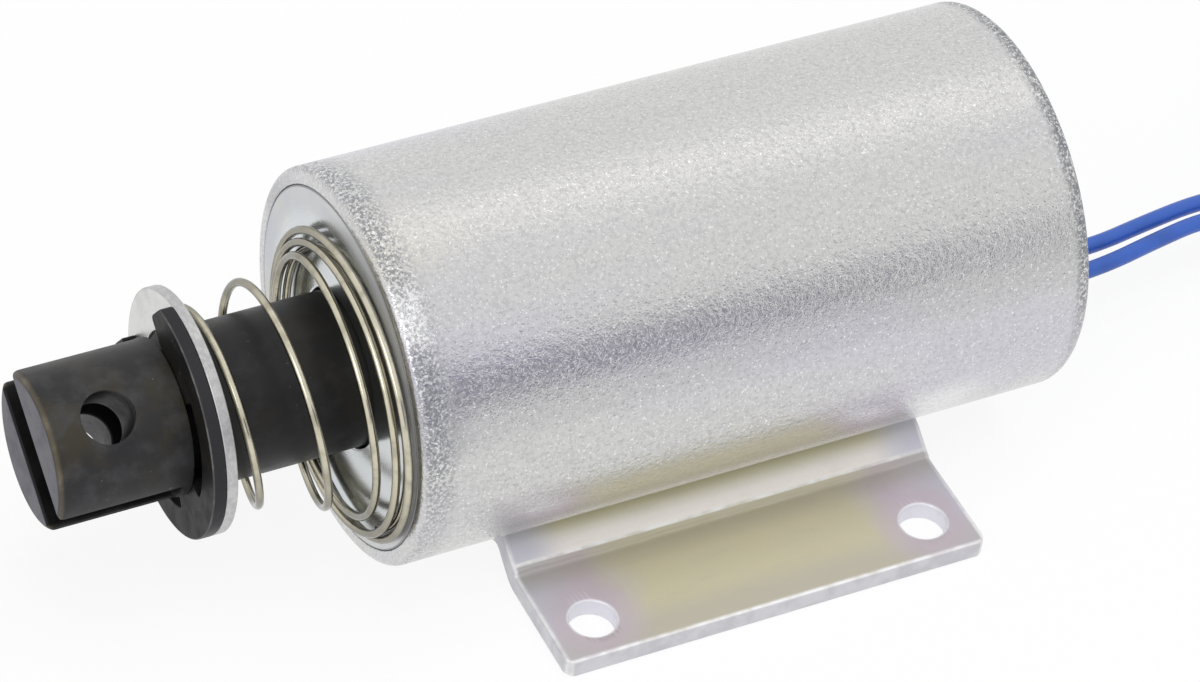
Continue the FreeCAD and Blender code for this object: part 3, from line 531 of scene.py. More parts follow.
def chromate_finish(foot):
    """Iridescent chromate: olive in the middle, rose and lavender towards the ends and the holes."""
    finish = Finish("chromate_foot")
    along, across = [abs(part) for part in finish.place_parts()[:2]]
    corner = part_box("foot_plate")[1]
    from_end = corner.x - along
    from_side = corner.y - across
    inset = from_end.least(from_side)
    past_bend = across - foot.bend_width / 2
    hole_x = along - foot.hole_long / 2
    hole_y = across - foot.hole_cross / 2
    from_hole = (hole_x * hole_x + hole_y * hole_y) ** 0.5 - foot.hole_radius
    patches = finish.noise(120, 3.0) - 0.5
    broken = finish.fade(finish.noise(520), 0.32, 0.64, 0.45, 1.0)
    streaks = finish.noise(900, 3.0, 0.6, (0.25, 1, 1))
    grain = finish.noise(4200)
    olive, rose, lavender = tuple(foot.olive), tuple(foot.rose), tuple(foot.lavender)
    stops = [(0.0, lavender), (0.38, rose), (0.64, CHROMATE_TAN), (0.9, olive)]
    place = finish.fade(from_end / (12 * MM) + patches * 0.9, 0.0, 1.15)
    shade = finish.node("ShaderNodeValToRGB", {"stops": stops}, {"Fac": place})
    shade = finish.mix(shade, CHROMATE_SIDE, finish.fall(from_side, 1.6 * MM, 5.0 * MM, 0.55))
    shade = finish.mix(shade, rose, finish.fall(from_hole, 0.35 * MM, 3.75 * MM, 0.7))
    shade = finish.mix(shade, HOLE_EDGE, finish.fall(from_hole, 0.10 * MM, 0.35 * MM))
    shade = finish.mix(shade, BEND_SHADOW, finish.fall(abs(past_bend - 0.67 * MM), 0.1 * MM, 3.2 * MM, 0.5))
    # The slope: olive chromate near the case, cream lower down; the cream is partly painted light that lifts
    # the case's shade
    slope = finish.mix(SLOPE_OLIVE, SLOPE_CREAM_AND_LIGHT, finish.fade(past_bend, -2.73 * MM, -0.93 * MM))
    slope = finish.mix(slope, SLOPE_END, finish.fall(from_end, 1.5 * MM, 6.5 * MM, 0.75))
    shade = finish.mix(shade, slope, finish.fall(past_bend, -0.43 * MM, -0.18 * MM))
    # Painted highlight: a broken bright line along the crease's crest
    ledge_highlight = finish.fall(abs(past_bend + 0.23 * MM), 0.08 * MM, 0.22 * MM, 0.9)
    shade = finish.mix(shade, LEDGE_HIGHLIGHT, ledge_highlight * broken)
    shade = finish.mix(shade, STREAK_GREY, finish.fade(streaks, 0.52, 0.75) * 0.07 + grain * 0.12)
    # Painted highlight: a broken bright line along the rounded sheared edges
    shade = finish.mix(shade, RIM_HIGHLIGHT, finish.fall(inset, 0.25 * MM, 0.6 * MM, 0.95) * broken)
    sheared = finish.mix(SHEARED_DARK, SHEARED_PALE, broken)
    shade = finish.mix(shade, sheared, finish.fall(inset, 0.05 * MM, 0.16 * MM, 0.9))
    rough = 0.30 + 0.12 * streaks + 0.05 * grain
    normal = finish.bump(streaks * 0.6 + grain * 0.4, 0.018 * MM)
    return finish.surface(base_color=shade, metallic=0.3, roughness=rough, normal=normal)


def scaled(colour, factor):
    """A colour with each of its parts multiplied."""
    return tuple(factor * part for part in colour)


OXIDE_SPECK = (0.16, 0.16, 0.15)
ROD_EDGE_HIGHLIGHT = (0.19, 0.16, 0.105)
ROD_END = (0.085, 0.085, 0.105)
CLIP_EDGE_HIGHLIGHT = (0.20, 0.20, 0.19)
CLIP_SKIN = (0.031, 0.031, 0.035)


def black_oxide_base(finish, black):
    """Black with brown clouds and grey mottling, and the mottling by itself."""
    brown = (1.6 * black[0], 1.4 * black[1], 1.0 * black[2])
    mottle = finish.spots(420, 0.42, 0.72, 4.0, 0.6)
    shade = finish.mix(black, brown, finish.spots(130, 0.46, 0.66, 3.0, 0.6))
    return finish.mix(shade, scaled(black, 2.6), mottle * 0.6), mottle


def black_oxide_surface(finish, shade, mottle, ior):
    """The satin surface of black oxide over a finished colour."""
    grain = finish.noise(3800)
    rough = 0.34 + 0.14 * mottle + 0.10 * grain
    normal = finish.bump(grain * 0.5 + mottle * 0.5, 0.014 * MM)
    return finish.surface(base_color=shade, roughness=rough, normal=normal, ior=ior)


def specks_and_bore_shade(finish, shade, black, plunger):
    """Pale specks, and painted shade: a deeper black on what lies inside the plunger's radius."""
    shade = finish.mix(shade, OXIDE_SPECK, finish.spots(2400, 0.76, 0.80, 1.0) * 0.6)
    # Painted shade in the slot and the cross hole
    inside = axis_radius(finish) - plunger.radius
    return finish.mix(shade, scaled(black, 0.15), finish.fall(inside, -0.65 * MM, -0.20 * MM, 0.95))


def edge_highlight(finish, mottle, end, radius, edge):
    """How much painted highlight, coloured like worn oxide, lies along the outer edge of an end."""
    near_end = finish.fall(finish.place_parts()[0], end + 0.3 * edge, end + edge)
    near_rim = finish.fade(axis_radius(finish), radius - edge, radius - 0.5 * edge)
    return near_end * near_rim * (0.35 + 0.5 * mottle)


def plunger_finish(plunger, end):
    """Satin black oxide, with a painted brown highlight along the clevis end's edge and painted shade behind
    the clip.
    """
    finish = Finish("plunger_black")
    black = tuple(plunger.black)
    along = finish.place_parts()[0]
    clip_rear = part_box("retaining_clip")[1].x
    shade, mottle = black_oxide_base(finish, black)
    shade = specks_and_bore_shade(finish, shade, black, plunger)
    # Painted highlight along the clevis end's edge
    shade = finish.mix(shade, ROD_EDGE_HIGHLIGHT, edge_highlight(finish, mottle, end, plunger.radius, 0.6 * MM))
    # Painted shade on the rod behind the clip, inside the spring
    shade_behind_clip = finish.fade(along, clip_rear, clip_rear + 2 * MM, 0.0, 0.6)
    shade = finish.mix(shade, scaled(black, 0.4), shade_behind_clip)
    shade = finish.mix(shade, ROD_END, finish.fall(along, end + 0.01 * MM, end + 0.06 * MM))
    return black_oxide_surface(finish, shade, mottle, 1.29)


def clip_finish(plunger, end, radius):
    """Satin black oxide of the clip, paler on its rim, with a painted grey highlight along its front edge.
    """
    finish = Finish("clip_black")
    black = scaled(plunger.black, 0.35)
    shade, mottle = black_oxide_base(finish, black)
    shade = finish.mix(shade, CLIP_SKIN, finish.fade(axis_radius(finish), radius - 0.14 * MM, radius))
    shade = specks_and_bore_shade(finish, shade, black, plunger)
    # Painted highlight along the clip's front edge
    shade = finish.mix(shade, CLIP_EDGE_HIGHLIGHT, edge_highlight(finish, mottle, end, radius, 0.17 * MM))
    return black_oxide_surface(finish, shade, mottle, 1.18)


WIRE_DULL = (0.34, 0.315, 0.235)
WIRE_EDGE_SHADE = (0.08, 0.072, 0.05)


def wire_finish(colour):
    """Drawn spring wire with a thin nickel skin, and painted shade where it turns away from the view."""
    finish = Finish("spring_nickel")
    tone = finish.noise(500, 3.0)
    turned_away = finish.node("ShaderNodeLayerWeight", sockets={"Blend": 0.4}, output="Facing")
    shade = finish.mix(colour, WIRE_DULL, finish.fade(tone, 0.45, 0.70) * 0.6)
    # Painted shade where the wire turns away from the view
    shade = finish.mix(shade, WIRE_EDGE_SHADE, finish.fade(turned_away, 0.10, 0.80) * 0.92)
    normal = finish.bump(finish.noise(6000), 0.006 * MM)
    return finish.surface(base_color=shade, metallic=1.0, roughness=0.10 + 0.08 * tone, normal=normal)


def insulation_finish(colour):
    """Extruded blue insulation, slightly waxy."""
    finish = Finish("lead_insulation")
    shade = finish.mix(colour, scaled(colour, 0.55), finish.spots(260, 0.45, 0.75) * 0.45)
    rough = 0.30 + 0.14 * finish.noise(900, 3.0)
    normal = finish.bump(finish.noise(1800), 0.010 * MM)
    return finish.surface(base_color=shade, roughness=rough, normal=normal)


def metal_finish(name, colour, rough):
    """A plain machined metal of a small or inner piece, with marks round the axis."""
    finish = Finish(name)
    marks = turning_marks(finish, 3000)
    cloud = finish.spots(240, 0.40, 0.75, 3.0)
    shade = finish.mix(colour, scaled(colour, 0.7), cloud * 0.5 + marks * 0.2)
    normal = finish.bump(marks, 0.010 * MM)
    return finish.surface(base_color=shade, metallic=1.0, roughness=rough + 0.12 * marks, normal=normal)


def dull_finish(name, colour, rough):
    """A moulded, woven or rubber material with soft mottling."""
    finish = Finish(name)
    grain = finish.noise(2200, 3.0, 0.6)
    shade = finish.mix(colour, scaled(colour, 0.72), finish.spots(300, 0.40, 0.75, 3.0) * 0.6)
    normal = finish.bump(grain, 0.012 * MM)
    return finish.surface(base_color=shade, roughness=rough + 0.12 * grain, normal=normal)


COPPER = (0.60, 0.24, 0.10)
COPPER_GAP = (0.33, 0.11, 0.045)


def winding_finish():
    """Enamelled copper wire in close turns."""
    finish = Finish("copper_winding")
    along = finish.place_parts()[0]
    turn = finish.node("ShaderNodeMath", {"operation": "PINGPONG"}, {0: along / (0.22 * MM), 1: 1.0})
    tone = finish.noise(420, 3.0)
    shade = finish.mix(COPPER, COPPER_GAP, (1 - turn) * 0.7 + tone * 0.2)
    normal = finish.bump(turn, 0.08 * MM)
    return finish.surface(base_color=shade, metallic=1.0, roughness=0.28 + 0.1 * tone, normal=normal)


SMALLEST = 1e-7
ARC_STEP = math.radians(12)
LONGEST_REACH = 0.49


def rounded(corners):
    """The points of a closed outline, each corner (a, b, radius) turned into an arc."""
    points = []
    for index, (a, b, radius) in enumerate(corners):
        here = Vector((a, b))
        before = Vector(corners[index - 1][:2]) - here
        after = Vector(corners[(index + 1) % len(corners)][:2]) - here
        if radius <= 0 or min(before.length, after.length) < SMALLEST:
            points.append(here)
            continue
        angle = before.angle(after)
        reach = min(radius / math.tan(angle / 2), LONGEST_REACH * min(before.length, after.length))
        start = here + before.normalized() * reach
        finish = here + after.normalized() * reach
        inward = (before.normalized() + after.normalized()).normalized()
        centre = here + inward * (reach / math.cos(angle / 2))
        swing = math.pi - angle
        steps = max(3, round(swing / ARC_STEP))
        for step in range(steps + 1):
            gone = step / steps * swing
            place = (start - centre) * math.sin(swing - gone) + (finish - centre) * math.sin(gone)
            points.append(centre + place / math.sin(swing))
    return points


def skin(mesh, row, following):
    """Faces between two rows of vertices; where a row is a single vertex, they are triangles."""
    for step in range(len(row) - 1):
        corners = [row[step], row[step + 1], following[step + 1], following[step]]
        corners = list(dict.fromkeys(corners))
        if len(corners) > 2:
            mesh.faces.new(corners)


def turned_mesh(name, outline, steps):
    """A closed mesh turned about the local X axis from points of distance and radius."""
    mesh = bmesh.new()
    angles = [2 * math.pi * step / steps for step in range(steps)]
    rows = []
    for distance, radius in outline:
        if radius < SMALLEST:
            row = [mesh.verts.new((distance, 0, 0))] * steps
        else:
            row = [mesh.verts.new((distance, radius * math.cos(a), radius * math.sin(a))) for a in angles]
        rows.append(row + row[:1])
    for index, row in enumerate(rows):
        skin(mesh, rows[index - 1], row)
    return finished_mesh(name, mesh)


def finished_mesh(name, mesh):
    """A mesh with its faces turned outwards."""
    bmesh.ops.recalc_face_normals(mesh, faces=mesh.faces)
    data = bpy.data.meshes.new(name)
    mesh.to_mesh(data)
    mesh.free()
    return data


def prism_mesh(name, outline, axis, low, high):
    """A closed mesh whose flat outline runs from low to high along an axis, 0 for X or 1 for Y."""
    mesh = bmesh.new()
    ends = []
    for level in (low, high):
        places = [(level, a, b) if axis == 0 else (a, level, b) for a, b in outline]
        ends.append([mesh.verts.new(place) for place in places])
    mesh.faces.new(ends[0])
    mesh.faces.new(ends[1][::-1])
    skin(mesh, ends[0] + ends[0][:1], ends[1] + ends[1][:1])
    return finished_mesh(name, mesh)


def swept_mesh(name, points, radius, sides):
    """A round wire along a path, its ends slightly rounded."""
    mesh = bmesh.new()
    ahead = [(after - before).normalized() for before, after in zip(points, points[1:])]
    headings = [ahead[0]] + [(a + b).normalized() for a, b in zip(ahead, ahead[1:])] + [ahead[-1]]
    angles = [2 * math.pi * step / sides for step in range(sides)]
    out = headings[0].orthogonal().normalized()
    rows = []
    for point, heading in zip(points, headings):
        out = (out - heading * out.dot(heading)).normalized()
        side = heading.cross(out)
        ring = [point + (out * math.cos(a) + side * math.sin(a)) * radius for a in angles]
        row = [mesh.verts.new(place) for place in ring]
        rows.append(row + row[:1])
    for row, following in zip(rows, rows[1:]):
        skin(mesh, row, following)
    mesh.faces.new(rows[0][:-1])
    mesh.faces.new(rows[-1][:0:-1])
    rims = [edge for edge in mesh.edges if any(len(face.verts) > 4 for face in edge.link_faces)]
    bmesh.ops.bevel(mesh, geom=rims, offset=radius * 0.35, segments=2, affect="EDGES", profile=0.5)
    return finished_mesh(name, mesh)


def add_object(name, data, place=(0, 0, 0)):
    """A new object of the scene."""
    made = bpy.data.objects.new(name, data)
    made.location = place
    bpy.context.scene.collection.objects.link(made)
    return made


def new_object(name, data, turn=0.0):
    """An object whose local X axis lies on the plunger axis, turned about it."""
    if isinstance(data, bpy.types.Mesh):
        data.transform(Matrix.Translation((0, 0, AXIS_HEIGHT)) @ Matrix.Rotation(turn, 4, "X"))
    return add_object(name, data)


def settle(piece):
    """Makes the result of the piece's modifiers its own mesh."""
    graph = bpy.context.evaluated_depsgraph_get()
    made = bpy.data.meshes.new_from_object(piece.evaluated_get(graph))
    piece.modifiers.clear()
    piece.data = made


def cut_away(piece, cutter):
    """Takes the cutter's space out of the piece and removes the cutter."""
    cut = piece.modifiers.new("cut", "BOOLEAN")
    cut.operation = "DIFFERENCE"
    cut.solver = "EXACT"
    cut.object = cutter
    settle(piece)
    bpy.data.objects.remove(cutter)


def dress(piece, material, body, slot, *nodes, sharp=35.0):
    """Smooths a piece, gives it its material and puts it in the place of its CAD nodes."""
    piece.data.materials.clear()
    piece.data.materials.append(material)
    if piece.type == "MESH":
        piece.data.shade_smooth()
        piece.data.set_sharp_from_angle(angle=math.radians(sharp))
        even = piece.modifiers.new("even_shading", "WEIGHTED_NORMAL")
        even.keep_sharp = True
    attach(piece, body)
    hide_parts(*nodes)


class SOLENOID_OT_studio(bpy.types.Operator):
    """Set up the camera, the softboxes, the pale floor and the world"""

    bl_idname = "solenoid.studio"
    bl_label = "Studio"

    def execute(self, context):
        studio = context.scene.solenoid_studio
        context.scene.view_settings.view_transform = "Standard"
        self.add_camera(context, studio)
        self.add_floor(studio)
        self.add_world(context, studio)
        overhead = self.add_softbox(
            "overhead_softbox", place=(0.05, -0.22, 0.95), size=(0.9, 0.7), power=studio.overhead
        )
        overhead.visible_glossy = False
        self.add_softbox("side_softbox", place=(-0.75, -0.35, 0.55), size=(0.5, 0.6), power=studio.side)
        shade = ("ShaderNodeBsdfDiffuse", {"Color": (0.38, 0.37, 0.46, 1)})
        self.add_card("shade_card", shade, place=(0.04, -0.33, 0.140), size=(0.26, 0.115), lean=-6)
        glow = ("ShaderNodeEmission", {"Color": (1, 0.985, 0.96, 1), "Strength": 1.6})
        self.add_card("glow_card", glow, place=(0.16, 0.17, 0.45), size=(0.45, 0.07))
        return {"FINISHED"}

    def add_camera(self, context, studio):
        back = Vector((
            math.sin(studio.azimuth) * math.cos(studio.elevation),
            -math.cos(studio.azimuth) * math.cos(studio.elevation),
            math.sin(studio.elevation),
        ))
        level = Vector((math.cos(studio.azimuth), math.sin(studio.azimuth), 0))
        upright = back.cross(level)
        right = level * math.cos(studio.roll) + upright * math.sin(studio.roll)
        up = upright * math.cos(studio.roll) - level * math.sin(studio.roll)
        data = bpy.data.cameras.new("camera")
        data.lens = studio.lens
        data.sensor_width = 36
        data.clip_start = 0.01
        camera = add_object("camera", data)
        turn = Matrix((right, up, back)).transposed().to_4x4()
        camera.matrix_world = Matrix.Translation(Vector(studio.aim) + back * studio.distance) @ turn
        context.scene.camera = camera

    def add_floor(self, studio):
        mesh = bmesh.new()
        bmesh.ops.create_grid(mesh, x_segments=8, y_segments=8, size=studio.floor_size / 2)
        floor = add_object("floor", finished_mesh("floor", mesh), (0, 0, -0.02 * MM))
        finish = Finish("pale_floor")
        matt = finish.node("ShaderNodeBsdfDiffuse", sockets={"Color": (0.95, 0.95, 0.95, 1)})
        glow = finish.node("ShaderNodeEmission", sockets={"Color": (*studio.backdrop, 1), "Strength": 1.0})
        share = finish.seen_share() * studio.floor_glow
        blend = finish.node("ShaderNodeMixShader", sockets={0: share, 1: matt, 2: glow})
        finish.node("ShaderNodeOutputMaterial", sockets={"Surface": blend})
        floor.data.materials.append(finish.material)

    def add_world(self, context, studio):
        world = Finish("studio_world", bpy.data.worlds)
        strength = studio.sky + world.seen_share() * (1 - studio.sky)
        sockets = {"Color": (*studio.backdrop, 1), "Strength": strength}
        sky = world.node("ShaderNodeBackground", sockets=sockets)
        world.node("ShaderNodeOutputWorld", sockets={"Surface": sky})
        context.scene.world = world.material

    def add_softbox(self, name, place, size, power):
        data = bpy.data.lights.new(name, "AREA")
        data.shape = "RECTANGLE"
        data.size, data.size_y = size
        data.energy = power
        box = add_object(name, data, place)
        box.rotation_euler = (box.location - Vector((0, 0, AXIS_HEIGHT))).to_track_quat("Z", "Y").to_euler()
        box.visible_camera = False
        return box

    def add_card(self, name, surface, place, size, lean=0):
        """A card that only reflections show"""
        mesh = bmesh.new()
        bmesh.ops.create_grid(mesh, x_segments=2, y_segments=2, size=0.5)
        card = add_object(name, finished_mesh(name, mesh), place)
        card.scale = (*size, 1)
        card.rotation_euler = card.location.to_track_quat("Z", "Y").to_euler()
        card.rotation_euler.rotate_axis("Z", math.radians(lean))
        finish = Finish(name)
        kind, sockets = surface
        finish.node("ShaderNodeOutputMaterial", sockets={"Surface": finish.node(kind, sockets=sockets)})
        card.data.materials.append(finish.material)
        card.visible_camera = False
        card.visible_diffuse = False
        card.visible_shadow = False


def lead_places(leads, sign):
    """Control points of one lead's insulation: out of the bush, down to the floor, round its coil, out."""
    if sign > 0:
        route = [
            (34.8, 1.7, 8.1), (41.5, 1.35, 8.1), (48.0, 1.0, 8.15), (54.8, 2.15, 8.1), (61.4, 3.3, 7.7),
            (67.8, 3.65, 6.8), (74.0, 3.3, 5.8), (79.6, 3.2, 5.1),
        ]
        tail = [(93.5, 18.2), (94.6, 23.2)]
    else:
        route = [
            (34.8, -1.7, 8.1), (41.5, -2.05, 8.1), (47.8, -1.85, 8.15), (54.4, -0.5, 8.1), (60.8, 0.85, 7.7),
            (67.2, 0.7, 6.8), (73.4, -1.2, 5.8), (79.3, -2.7, 5.1),
        ]
        tail = [(93.6, -18.0), (95.0, -22.9)]
    places = [Vector(place) * MM for place in route]
    per_turn = 14
    steps = round(leads.coil_turns * per_turn)
    radius = leads.coil_radius / math.cos(math.pi / per_turn)
    for step in range(steps + 1):
        angle = -math.pi / 2 + 2 * math.pi * step / per_turn
        height = leads.coil_top + (leads.end_height - leads.coil_top) * step / steps
        across = leads.coil_y + radius * math.sin(angle)
        places.append(Vector((leads.coil_x + radius * math.cos(angle), sign * across, height)))
    places.extend(Vector((x * MM, y * MM, leads.end_height)) for x, y in tail)
    return places


class SOLENOID_OT_leads(bpy.types.Operator):
    """Lay the two blue leads with their coils and tinned ends"""

    bl_idname = "solenoid.leads"
    bl_label = "Leads"

    def execute(self, context):
        leads = context.scene.solenoid_leads
        blue = insulation_finish(tuple(leads.blue))
        tin = metal_finish("tinned_strands", tuple(leads.tin), 0.28)
        for number, sign in ((1, 1), (2, -1)):
            places = lead_places(leads, sign)
            data = bpy.data.curves.new(f"blue_lead_{number}", "CURVE")
            data.dimensions = "3D"
            line = data.splines.new("NURBS")
            line.points.add(len(places) - 1)
            for point, place in zip(line.points, places):
                point.co = (*place, 1)
            line.order_u = 3
            line.use_endpoint_u = True
            data.resolution_u = 8
            data.bevel_depth = leads.diameter / 2
            data.bevel_resolution = 5
            data.use_fill_caps = True
            lead = new_object(f"blue_lead_{number}", data)
            dress(lead, blue, "housing", "lead_insulation", f"lead_{number}", f"lead_{number}_coil",
                  f"lead_{number}_end")
            strands = self.tinned_end(leads, number, places[-2], places[-1])
            dress(strands, tin, "housing", "tinned_copper", f"tinned_end_{number}")
        return {"FINISHED"}

    def tinned_end(self, leads, number, before, tip):
        """Seven strands twisted together, straight on from the lead's end"""
        heading = (tip - before).normalized()
        side = heading.orthogonal().normalized()
        over = heading.cross(side)
        whole = bmesh.new()
        outer, steps, twist = 6, 16, 0.8
        for strand in range(outer + 1):
            offset = 0.0 if strand == 0 else 2 * leads.strand_radius
            path = []
            for step in range(steps + 1):
                along = step / steps
                angle = 2 * math.pi * (strand / outer + twist * along)
                swing = side * math.cos(angle) + over * math.sin(angle)
                reached = along * (leads.tinned_length - 0.1 * MM) - 0.2 * MM * (1 - along)
                path.append(tip + heading * reached + swing * offset)
            one = swept_mesh("strand", path, leads.strand_radius, 10)
            whole.from_mesh(one)
            bpy.data.meshes.remove(one)
        data = bpy.data.meshes.new(f"tinned_strands_{number}")
        whole.to_mesh(data)
        whole.free()
        return add_object(f"tinned_strands_{number}", data)


class SOLENOID_OT_case(bpy.types.Operator):
    """Turn the case tube with its two rolled lips"""

    bl_idname = "solenoid.case"
    bl_label = "Case tube"

    def execute(self, context):
        case = context.scene.solenoid_case
        bore = CASE_RADIUS - case.wall
        outline = rounded([
            (FRONT, CASE_RADIUS, case.front_round),
            (REAR, CASE_RADIUS, case.rear_round),
            (REAR, case.seam_radius, case.seam_round),
            (REAR - case.lip_depth, case.seat_radius, 0),
            (REAR - case.plate, case.seat_radius, 0),
            (REAR - case.plate, bore, 0),
            (FRONT + case.plate, bore, 0),
            (FRONT + case.plate, case.seat_radius, 0),
            (FRONT + case.lip_depth, case.seat_radius, 0),
            (FRONT, case.seam_radius, case.seam_round),
        ])
        tube = new_object("zinc_tube", turned_mesh("zinc_tube", outline, 320))
        dress(tube, zinc_case_finish(case), "housing", "case_zinc", "case_tube")
        return {"FINISHED"}


class SOLENOID_OT_end_plates(bpy.types.Operator):
    """Turn the front plate, the rear plate and the bush in it"""

    bl_idname = "solenoid.end_plates"
    bl_label = "End plates"

    def execute(self, context):
        case = context.scene.solenoid_case
        leads = context.scene.solenoid_leads
        front_outline = rounded([
            (FRONT, case.seam_radius, case.seam_round),
            (FRONT, case.bore_radius, case.bore_round),
            (FRONT + case.guide_depth, case.bore_radius, 0),
            (FRONT + case.guide_depth, case.guide_radius, 0),
            (FRONT + case.plate, case.guide_radius, 0),
            (FRONT + case.plate, case.seat_radius, 0),
            (FRONT + case.lip_depth, case.seat_radius, 0),
        ])
        front = new_object("flat_plate", turned_mesh("flat_plate", front_outline, 280))
        dress(front, zinc_plate_finish("front_plate_zinc", case), "housing", "plate_steel", "front_plate")
        rear_outline = rounded([
            (REAR - case.plate, case.spigot_radius, 0),
            (REAR, case.spigot_radius, case.spigot_round),
            (REAR, case.seam_radius, case.seam_round),
            (REAR - case.lip_depth, case.seat_radius, 0),
            (REAR - case.plate, case.seat_radius, 0),
        ])
        rear = new_object("rear_end_plate", turned_mesh("rear_end_plate", rear_outline, 280))
        low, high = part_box("lead_bush")
        bush_place = Matrix.Translation((0, 0, (low.z + high.z) / 2 - AXIS_HEIGHT))
        cut_away(rear, self.plug("bush_hole", leads.bush_radius, low.x, high.x, bush_place, 96))
        dress(rear, zinc_plate_finish("rear_plate_zinc", case), "housing", "plate_steel", "rear_plate")
        self.add_bush(leads, low, high, bush_place)
        return {"FINISHED"}

    def plug(self, name, radius, low, high, place, steps):
        """A round cutter that goes right through between two distances"""
        outline = [(low - MM, 0), (low - MM, radius), (high + MM, radius), (high + MM, 0)]
        cutter = new_object(name, turned_mesh(name, outline, steps))
        cutter.data.transform(place)
        return cutter

    def add_bush(self, leads, low, high, bush_place):
        """A rubber bush with a rounded flange and a hole for each lead"""
        outline = rounded([
            (low.x, 0, 0),
            (low.x, leads.bush_radius, 0),
            (REAR, leads.bush_radius, 0),
            (REAR, leads.bush_flange_radius, leads.bush_edge),
            (high.x, leads.bush_flange_radius, leads.bush_crown),
            (high.x, 0, 0),
        ])
        bush = new_object("rubber_bush", turned_mesh("rubber_bush", outline, 120))
        bush.data.transform(bush_place)
        for name in ("lead_1", "lead_2"):
            tail_low, tail_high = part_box(f"{name}_tail")
            tail_place = bush_place @ Matrix.Translation((0, (tail_low.y + tail_high.y) / 2, 0))
            cut_away(bush, self.plug(f"{name}_hole", leads.diameter / 2, low.x, high.x, tail_place, 48))
        rubber = dull_finish("bush_rubber", (0.030, 0.030, 0.032), 0.55)
        dress(bush, rubber, "housing", "bush_rubber", "lead_bush")


class SOLENOID_OT_plunger(bpy.types.Operator):
    """Turn the plunger and cut its groove, clevis slot and cross hole"""

    bl_idname = "solenoid.plunger"
    bl_label = "Plunger"

    def execute(self, context):
        plunger = context.scene.solenoid_plunger
        low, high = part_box("plunger")
        clip_low, clip_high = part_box("retaining_clip")
        play = plunger.groove_play / 2
        outline = rounded([
            (low.x, 0, 0),
            (low.x, plunger.radius, plunger.end_round),
            (clip_low.x - play, plunger.radius, plunger.edge_round),
            (clip_low.x - play, plunger.groove_radius, plunger.groove_corner),
            (clip_high.x + play, plunger.groove_radius, plunger.groove_corner),
            (clip_high.x + play, plunger.radius, plunger.edge_round),
            (high.x - plunger.cone_length, plunger.radius, plunger.cone_round),
            (high.x, plunger.cone_tip_radius, plunger.cone_round),
            (high.x, 0, 0),
        ])
        rod = new_object("black_plunger", turned_mesh("black_plunger", outline, 240), plunger.turn)
        cut_away(rod, self.slot_cutter(plunger, low.x))
        for side in (1, -1):
            for wall in (1, -1):
                cut_away(rod, self.edge_cutter(plunger, low.x, side, wall))
        cut_away(rod, self.pin_cutter(plunger, low.x))
        dress(rod, plunger_finish(plunger, low.x), "plunger", "plunger_black", "plunger", sharp=28)
        return {"FINISHED"}

    def slot_cutter(self, plunger, end):
        """A flat block that widens at the open end, to bevel the ears"""
        half = plunger.slot_width / 2
        bevel = plunger.broken_edge
        bottom = end + plunger.slot_depth
        out = end - MM
        outline = rounded([
            (out, half + bevel + MM, 0),
            (end + bevel, half, 0),
            (bottom, half, plunger.slot_corner),
            (bottom, -half, plunger.slot_corner),
            (end + bevel, -half, 0),
            (out, -half - bevel - MM, 0),
        ])
        reach = 1.3 * plunger.radius
        return new_object("slot", prism_mesh("slot", outline, 1, -reach, reach), plunger.turn)

    def edge_cutter(self, plunger, end, side, wall):
        """A slender prism that bevels one long edge of the slot"""
        half = plunger.slot_width / 2
        edge = math.sqrt(plunger.radius**2 - half**2)
        angle = math.atan2(half, edge) + plunger.broken_edge / plunger.radius
        section = [
            (side * (edge - plunger.broken_edge), wall * half),
            (side * (edge + 0.5 * MM), wall * (half - 0.1 * MM)),
            (side * plunger.radius * math.cos(angle), wall * plunger.radius * math.sin(angle)),
        ]
        bottom = end + plunger.slot_depth - plunger.slot_corner
        prism = prism_mesh("edge", section, 0, end - MM, bottom)
        return new_object("slot_edge", prism, plunger.turn)

    def pin_cutter(self, plunger, end):
        """A round bar across the plunger that widens at both surfaces and at the slot's walls"""
        half = plunger.slot_width / 2
        radius = plunger.pin_radius
        bevel = 0.12 * MM
        flare = plunger.radius - 0.17 * MM
        outside = plunger.radius + MM
        upper = [
            (half + bevel, radius),
            (flare, radius),
            (outside, radius + 0.5 * (outside - flare)),
            (outside, 0),
        ]
        wide = [(-half, radius + bevel), (half, radius + bevel)]
        lower = [(-height, width) for height, width in reversed(upper)]
        data = turned_mesh("pin", lower + wide + upper, 72)
        data.transform(Matrix.Rotation(math.radians(90), 4, "Y"))
        data.transform(Matrix.Translation((end + plunger.pin_distance, 0, 0)))
        return new_object("pin_hole", data, plunger.turn)


